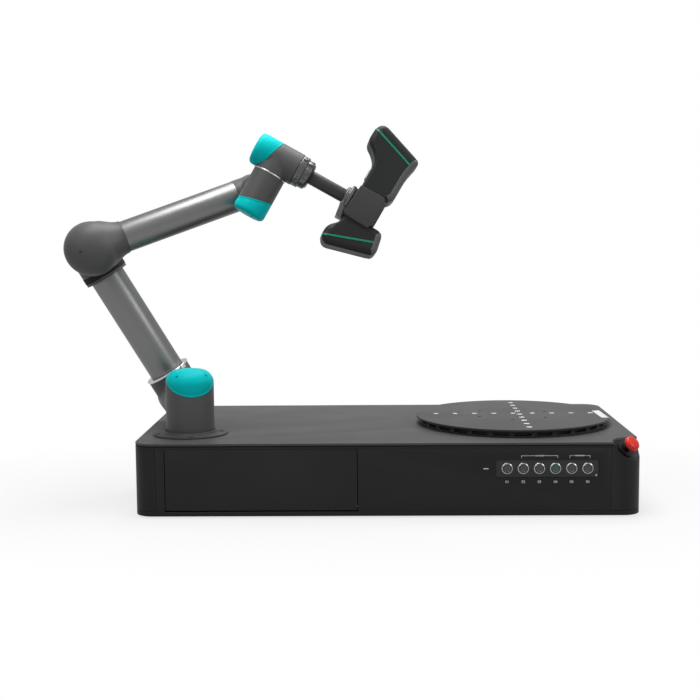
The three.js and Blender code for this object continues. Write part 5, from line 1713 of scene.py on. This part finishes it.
@dataclass
class Wrist:
    """The two short wrist links with their caps."""

    pose: ArmPose
    radius: float = 27.5
    back: float = 22.4
    cap_length: float = 27.6
    first_tilt: float = 14.6
    front: float = 24.4
    stub: float = 24.0
    stub_end: float = 29.5
    ring: tuple[float, float, float, float] = (18.3, 28.3, 24.7, 27.0)
    first_screws: Point2 = (200, 300)
    first_screw_circle: float = 15.0
    first_melt: tuple[float, int] = (1.0, 8)
    second_back: float = 42.0
    second_front: float = 36.0
    cap_start: float = 10.5
    cap_tilt: float = 17.0
    second_stub: float = 27.6
    second_screws: Point2 = (215, 325)
    second_screw_place: float = -31.0
    second_melt: tuple[float, int] = (0.9, 5)
    cap_mouth: float = 10.0
    cap_edges: Point2 = (8.5, 9.0)
    cap_wall: float = 2.5

    def build(self, shop: Workshop) -> None:
        """Builds both links."""
        self._first(shop)
        self._second(shop)

    def _shell(self, grow: float, end: float, edge: float) -> bmesh.types.BMesh:
        """Returns a whole hollow cap, its outside grown by some millimetres."""
        return Mesher.lathe(cap_profile(
            self.radius + grow, self.cap_mouth, end, edge, self.cap_wall + grow, 0.0))

    def _first(self, shop: Workshop) -> None:
        """Builds the first wrist link, whose cap is cut off at a slant.

        Args:
            shop: Workshop that adds the pieces.
        """
        at = self.pose.wrist_1
        tilt = math.radians(self.first_tilt)
        slant = Vector((-math.cos(tilt), 0, -math.sin(tilt)))
        point = Vector((-self.back, 0, 0))
        barrel = Mesher.rod(self.radius, -self.back - 14, self.front + OVERRUN)
        stub = Mesher.rod(self.stub, 0, self.stub_end + OVERRUN)
        casting = shop.cast(Mesher.join([(barrel, STAY), (stub, ALONG_Y)]), *self.first_melt)
        Mesher.sliced(casting, point, slant)
        Mesher.sliced(casting, (self.front, 0, 0), (1, 0, 0))
        Mesher.sliced(casting, (0, self.stub_end, 0), (0, 1, 0))
        shop.piece("wrist_1_casting", casting, PALETTE.housing, "wrist_1", at, ["wrist_1_housing"])
        shop.piece(
            "wrist_1_bright_ring", Mesher.tube(*self.ring, 0.7), PALETTE.collar, "wrist_1", at,
            ["wrist_1_ring"])
        end, edge = -self.back - self.cap_length, self.cap_edges[0]
        cap = Mesher.slanted_cap(lambda grow: self._shell(grow, end, edge), point, slant)
        shop.piece(
            "wrist_1_cap_shell", cap, PALETTE.teal, "wrist_1", at, ["wrist_1_cap"], bevel=0.3)
        for i, angle in enumerate(self.first_screws):
            spot = facing((end - 0.2, *around(self.first_screw_circle, angle)), (-1, 0, 0))
            shop.screw(f"wrist_1_cap_screw_{i + 1}", at @ spot, "wrist_1", 1.5)

    def _second(self, shop: Workshop) -> None:
        """Builds the second wrist link, whose cap is cut off at a slant.

        Args:
            shop: Workshop that adds the pieces.
        """
        at = self.pose.wrist_2
        tilt = math.radians(self.cap_tilt)
        slant = Vector((-math.cos(tilt), 0, math.sin(tilt)))
        point = Vector((-self.cap_start, 0, 0))
        back = self.second_back
        barrel = Mesher.rod(self.radius, -back, self.second_front + OVERRUN)
        Mesher.sliced(barrel, point, slant)
        stub = Mesher.rod(self.radius, -self.second_stub - OVERRUN, 0)
        casting = shop.cast(Mesher.join([(barrel, STAY), (stub, ALONG_Z)]), *self.second_melt)
        Mesher.sliced(casting, (self.second_front, 0, 0), (1, 0, 0))
        Mesher.sliced(casting, (0, 0, -self.second_stub), (0, 0, -1))
        shop.piece("wrist_2_casting", casting, PALETTE.housing, "wrist_2", at, ["wrist_2_housing"])
        edge = self.cap_edges[1]
        cap = Mesher.slanted_cap(lambda grow: self._shell(grow + 0.1, -back, edge), point, slant)
        shop.piece(
            "wrist_2_cap_shell", cap, PALETTE.teal, "wrist_2", at, ["wrist_2_cap"], bevel=0.3)
        for i, angle in enumerate(self.second_screws):
            out = Vector((0, *around(1, angle)))
            place = Vector((self.second_screw_place, 0, 0)) + out * (self.radius - 0.6)
            spot = facing(place, out + Vector((-0.25, 0, 0)))
            shop.screw(f"wrist_2_cap_screw_{i + 1}", at @ spot, "wrist_2", 1.6)


@dataclass
class Tool:
    """Flange, rod and bracket that carry the scanner's clamp."""

    pose: ArmPose
    start: float = 36.5
    drum: float = 11.0
    drum_radius: float = 26.5
    tip_radius: float = 22.0
    end: float = 61.5
    rod_radius: float = 11.5
    rod_end: float = 130.5
    plate: tuple[float, float, float] = (23.0, 130.8, 136.8)
    bore: float = 13.0
    drop: float = 34.0
    tab_half: float = 14.0
    pin: float = 8.0
    plate_screws: Point2 = (-18.5, 18.5)
    tab_screws: Point2 = (-8.0, 8.0)

    def build(self, shop: Workshop) -> None:
        """Builds the flange, the rod and the bracket.

        Args:
            shop: Workshop that adds the pieces.
        """
        at = self.pose.tool
        s, r, t, end = self.start, self.drum_radius, self.tip_radius, self.end
        face = s + self.drum
        profile = eased([
            (0, s), (r, s), (r, face), (t + 1.5, face + 1.5), (t + 1.5, face + 3.5),
            (t, face + 4.5), (t, end - 3), (t - 3, end), (self.bore, end),
            (self.bore, end - 1.5), (0, end - 1.5),
        ], 0.8, 3)
        parts = [(Mesher.lathe(profile), STAY)]
        for i in range(4):
            boss = Mesher.rod(5.0, r - 8, r + 1.6, 0.8, 32)
            parts.append((boss, turn("X", 45 + 90 * i) @ shift(s + self.drum / 2, 0, 0) @ ALONG_Y))
        for i in range(8):
            lug = Mesher.block((face, t - 3.5, -4.2), (end - 3.4, t + 2.0, 4.2), 1.2)
            parts.append((lug, turn("X", 45 * i)))
        shop.piece(
            "tool_flange_body", Mesher.join(parts), PALETTE.flange, "tool", at, ["tool_flange"])
        for i in range(4):
            frame = at @ turn("X", 45 + 90 * i) @ shift(s + self.drum / 2, 0, 0)
            spot = facing((0, r + 1.5, 0), (0, 1, 0))
            shop.screw(f"flange_screw_{i + 1}", frame @ spot, "tool", 2.6)
        rod = Mesher.lathe(eased([
            (0, end - 8), (self.rod_radius, end - 8), (self.rod_radius, self.rod_end),
            (self.pin, self.rod_end), (self.pin, self.plate[2]), (0, self.plate[2]),
        ], 0.7))
        shop.piece("tool_rod_bar", rod, PALETTE.rod, "tool", at, ["tool_rod"])
        self._bracket(shop)

    def _bracket(self, shop: Workshop) -> None:
        """Builds the round plate, its lock ring, its wedge tab, its fasteners and a black disc of
        painted shade.

        Args:
            shop: Workshop that adds the pieces.
        """
        at = self.pose.tool
        radius, start, end = self.plate
        plate = Mesher.lathe(eased([
            (0, start - 7), (radius - 8, start - 7), (radius - 5.5, start - 5),
            (radius - 5.5, start - 0.8), (radius - 1.5, start - 0.4), (radius, start + 0.8),
            (radius, end), (0, end),
        ], 0.8))
        low = -self.drop
        side = [
            (end, 2), (end, low), (end + 2, low), (end + 2, low - 3), (end - 9.5, low - 3),
            (end - 12.5, -15), (end - 8, -8), (end - 8, 2),
        ]
        loop = eased_loop(side[::-1], [0.8, 2, 2, 1, 0.6, 0.3, 0.3, 0.8], 3)
        tab = Mesher.pad(loop, -self.tab_half, self.tab_half, 1.0)
        bm = Mesher.join([(plate, STAY), (tab, turn("X", 90))])
        shop.piece("bracket_body", bm, PALETTE.bracket, "tool", at, ["clamp_bracket"])
        # Black disc between the round plate and the clamp: painted shade, a dark piece that fills
        # the shaded gap there.
        pad = Mesher.rod(radius - 1.5, end - 0.5, end + 4.6)
        shop.piece("bracket_shade_pad", pad, PALETTE.rubber_and_shade, "tool", at)
        for i, z in enumerate(self.plate_screws):
            place = facing((start - 0.3, 0, z), (-1, 0, 0))
            shop.screw(f"bracket_screw_{i + 1}", at @ place, "tool", 2.4)
        for i, y in enumerate(self.tab_screws):
            place = facing((end - 10.6, y, -28), (-1, 0, -0.14))
            shop.screw(f"bracket_tab_screw_{i + 1}", at @ place, "tool", 2.2)


@dataclass
class HandScanner:
    """Hand-held scanner with its lights, windows and trigger, in its clamp."""

    pose: ArmPose
    width: float = 56.0
    edge: float = 10.5
    melt: tuple[float, int] = (1.1, 4)
    grip_back: float = -26.0
    outline: tuple[tuple[float, float, float], ...] = (
        (-43, 103.0, 12), (38.5, 76.0, 13), (34.5, 59, 12), (31.5, 42, 16), (31.5, -2, 8),
        (22, -12, 9), (12, -58, 12), (42.5, -57, 12), (51, -98, 13), (-33, -122, 9),
        (-43.5, -112, 9), (-43, -91, 12), (-26, -76, 12), (-26, 38, 16), (-38, 53, 10),
        (-54, 63, 10), (-53.5, 91, 12),
    )
    light_insets: tuple[float, float] = (17.5, 14.5)
    light_width: float = 3.0
    light_tilts: tuple[float, float] = (0.0, -4.5)
    windows: tuple[tuple[float, float], ...] = ((40.5, 57.0), (-78.8, -66.2))
    window_half: float = 17.0
    window_back: float = 20.0
    port: Point2 = (-27.0, -104.0)
    fronts: tuple[tuple[str, float, float], ...] = (
        ("upper", -9.0, 88.0), ("lower", -116.0, -60.0))
    front_skin: Point2 = (0.7, -0.8)
    front_turns: tuple[float, ...] = (2, 18, 34, 50, 66, 82, 90)
    trigger: tuple[float, float, float] = (6.0, 11.0, 5.4)
    trigger_height: float = 19.0
    clamp_front: float = 25.0
    clamp_top: float = -9.0
    clamp_length: float = 56.0
    clamp_wall: float = 4.0
    clamp_bore: float = 23.0

    def build(self, shop: Workshop) -> None:
        """Builds the scanner and its clamp.

        Args:
            shop: Workshop that adds the pieces.
        """
        self._body(shop)
        self._front(shop)
        self._lights(shop)
        self._windows(shop)
        self._trigger(shop)
        self._clamp(shop)

    def _loop(self) -> list[Point2]:
        """Returns the rounded outline, anticlockwise."""
        corners = [(x, z) for x, z, _ in self.outline][::-1]
        return eased_loop(corners, [r for _, _, r in self.outline][::-1], 8)

    def _blank(self, inset: float = 0.0) -> bmesh.types.BMesh:
        """Makes the scanner's rounded body.

        Args:
            inset: How far it is drawn in, in millimetres.

        Returns:
            The body.
        """
        loop, half = self._drawn_in(self._loop(), inset), self.width / 2
        bm = Mesher.pad(loop, -half + inset, half - inset, self.edge - inset / 2, 9)
        bm.transform(turn("X", 90))
        return bm

    @staticmethod
    def _drawn_in(loop: Sequence[Point2], inset: float) -> list[Point2]:
        """Moves a loop inwards.

        Args:
            loop: Closed line, anticlockwise.
            inset: How far it is moved.

        Returns:
            The moved line.
        """
        made = []
        for i, p in enumerate(loop):
            way = Vector(loop[(i + 1) % len(loop)]) - Vector(loop[i - 1])
            side = Vector((-way.y, way.x)).normalized()
            made.append(tuple(Vector(p) + side * inset))
        return made

    def _body(self, shop: Workshop) -> None:
        """Builds the shell and the small ring on the side of its lower head.

        Args:
            shop: Workshop that adds the pieces.
        """
        at = self.pose.scanner
        casting = shop.cast(self._blank(), *self.melt)
        shop.piece("scanner_shell", casting, PALETTE.scanner, "tool", at, ["scanner_body"])
        ring = Mesher.tube(2.4, 3.4, -0.6, 0.5, 0.2, 32)
        x, z = self.port
        place = facing((x, -self.width / 2 + 0.4, z), (0, -1, 0))
        shop.piece("scanner_port", ring, PALETTE.screw, "tool", at @ place)

    def _front(self, shop: Workshop) -> None:
        """Builds the grey front of both heads as thin shells on the body.

        Args:
            shop: Workshop that adds the pieces.
        """
        loop = [Vector(p) for p in self._loop()]
        inward = Mesher.inward(loop)
        for name, low, high in self.fronts:
            line = [
                (p, n) for p, n in zip(loop, inward)
                if n.normalized().x < -0.45 and low < p.y < high and p.x > 0]
            shell = self._closed(*[self._skin(line, proud) for proud in self.front_skin])
            shop.piece(
                f"scanner_{name}_front", shell, PALETTE.bezel_grey, "tool", self.pose.scanner,
                bevel=0.15)

    def _skin(self, line: Sequence[tuple[Vector, Vector]], proud: float) -> list[list[Vector]]:
        """Points of the body's surface along a part of its outline.

        Args:
            line: Points of the outline with their inward directions.
            proud: How far the skin stands out of the body.

        Returns:
            Rows of points, one row for each turn of the rounded edge.
        """
        half, rows = self.width / 2, []
        angles = [math.radians(a) for a in self.front_turns]
        turns = [(a, 1) for a in angles] + [(a, -1) for a in reversed(angles)]
        for a, side in turns:
            row = []
            for p, n in line:
                q = p + n * self.edge * (1 - math.sin(a)) - n.normalized() * proud * math.sin(a)
                y = half - self.edge * (1 - math.cos(a)) + proud * math.cos(a)
                row.append(Vector((q.x, side * y, q.y)))
            rows.append(row)
        return rows

    @staticmethod
    def _closed(outer: list[list[Vector]], inner: list[list[Vector]]) -> bmesh.types.BMesh:
        """Joins two grids of points into one thin closed shell.

        Args:
            outer: Rows of points of the outer side.
            inner: Rows of points of the inner side.

        Returns:
            The shell.
        """
        bm = bmesh.new()
        sheets = [[[bm.verts.new(p) for p in row] for row in grid] for grid in (outer, inner)]
        rows, columns = len(outer), len(outer[0])
        for sheet in sheets:
            for i in range(rows - 1):
                for k in range(columns - 1):
                    here, there = sheet[i], sheet[i + 1]
                    bm.faces.new((here[k], here[k + 1], there[k + 1], there[k]))
        border = [(0, k) for k in range(columns)] + [(i, columns - 1) for i in range(1, rows)]
        border += [(rows - 1, k) for k in range(columns - 2, -1, -1)]
        border += [(i, 0) for i in range(rows - 2, 0, -1)]
        for (i, k), (m, n) in zip(border, [*border[1:], border[0]]):
            bm.faces.new((sheets[0][i][k], sheets[0][m][n], sheets[1][m][n], sheets[1][i][k]))
        bmesh.ops.recalc_face_normals(bm, faces=bm.faces)
        return bm

    def _ends(self) -> list[tuple[Vector, Vector, float]]:
        """Finds the end faces of both heads.

        Returns:
            A point, the outward normal and the light's inset of each face.
        """
        faces = []
        for first, second, inset in ((0, 1, self.light_insets[0]), (9, 8, self.light_insets[1])):
            a, b = self.outline[first], self.outline[second]
            one, two = Vector((a[0], 0, a[1])), Vector((b[0], 0, b[1]))
            normal = Vector((0, 1, 0)).cross(two - one).normalized()
            if normal.z * one.z < 0:
                normal = -normal
            faces.append((one, normal, inset))
        return faces

    def _lights(self, shop: Workshop) -> None:
        """Builds the green bands round both heads.

        Args:
            shop: Workshop that adds the pieces.
        """
        names = ("scanner_upper_light", "scanner_lower_light")
        for name, (point, normal, inset), tilt in zip(names, self._ends(), self.light_tilts):
            band = self._blank(-0.5)
            half = self.light_width / 2
            normal = turn("Y", tilt).to_3x3() @ normal
            Mesher.sliced(band, point - normal * (inset - half), normal)
            Mesher.sliced(band, point - normal * (inset + half), -normal)
            shop.piece(name + "_band", band, PALETTE.green, "tool", self.pose.scanner, [name])

    def _windows(self, shop: Workshop) -> None:
        """Builds the dark windows in the front of both heads.

        Args:
            shop: Workshop that adds the pieces.
        """
        names = ("scanner_upper_window", "scanner_lower_window")
        for name, (low, high) in zip(names, self.windows):
            pane = self._blank(-0.6)
            half = self.window_half
            for at, normal in (
                ((0, 0, high), (0, 0, 1)), ((0, 0, low), (0, 0, -1)), ((0, half, 0), (0, 1, 0)),
                ((0, -half, 0), (0, -1, 0)), ((self.window_back, 0, 0), (-1, 0, 0)),
            ):
                Mesher.sliced(pane, at, normal)
            shop.piece(name + "_pane", pane, PALETTE.glass, "tool", self.pose.scanner, [name])

    def _trigger(self, shop: Workshop) -> None:
        """Builds the trigger on the grip's back.

        Args:
            shop: Workshop that adds the pieces.
        """
        wide, long, high = self.trigger
        corners = [(-wide, -long), (wide, -long), (wide, long), (-wide, long)]
        pad = Mesher.pad(eased_loop(corners, [5.5] * 4, 8), 0, high, 1.8, 6)
        frame = Matrix((
            (0, 0, -1, self.grip_back + 3.0), (1, 0, 0, 0), (0, 1, 0, self.trigger_height),
            (0, 0, 0, 1)))
        shop.piece(
            "trigger_button", pad, PALETTE.trigger, "trigger", self.pose.scanner @ frame,
            ["scanner_trigger"])

    def _clamp(self, shop: Workshop) -> None:
        """Builds the clamp block round the grip.

        Args:
            shop: Workshop that adds the pieces.
        """
        back, front = self.grip_back - self.clamp_wall, self.clamp_front
        top, bottom = self.clamp_top, self.clamp_top - self.clamp_length
        shape = [
            (back, bottom + 3), (back + 10, bottom), (front - 9, bottom - 1), (front, bottom + 12),
            (front, top - 9), (front - 9, top + 1), (back + 3, top),
        ]
        half = self.width / 2 + self.clamp_wall
        block = Mesher.pad(eased_loop(shape, [1.6] * 7, 4), -half, half, 2.0, 4)
        block.transform(turn("X", 90))
        wide = self.width / 2 + 0.3
        grip = Mesher.block(
            (self.grip_back - 0.3, -wide, bottom - 9), (self.clamp_bore, wide, top + 9), 8.0)
        bm = shop.carved(block, grip)
        shop.piece("clamp_shell", bm, PALETTE.clamp, "tool", self.pose.scanner, ["clamp_block"], 30)


def main() -> None:
    """Builds the camera, the studio and every sub-assembly in order."""
    logging.basicConfig(level=logging.INFO, format="%(name)s: %(message)s")
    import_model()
    PhotoCamera().build()
    Studio().build()
    shop = Workshop()
    pose = ArmPose()
    builders: tuple[Callable[[Workshop], None], ...] = (
        Cabinet().build, ControlStrip().build, EmergencyStop().build, Turntable().build,
        ArmFoot(pose).build, UpperArm(pose).build, Forearm(pose).build, Wrist(pose).build,
        Tool(pose).build, HandScanner(pose).build,
    )
    for build in builders:
        build(shop)
    LOG.info("%d pieces", shop.count)
    bpy.context.view_layer.update()


if __name__ == "__main__":
    main()
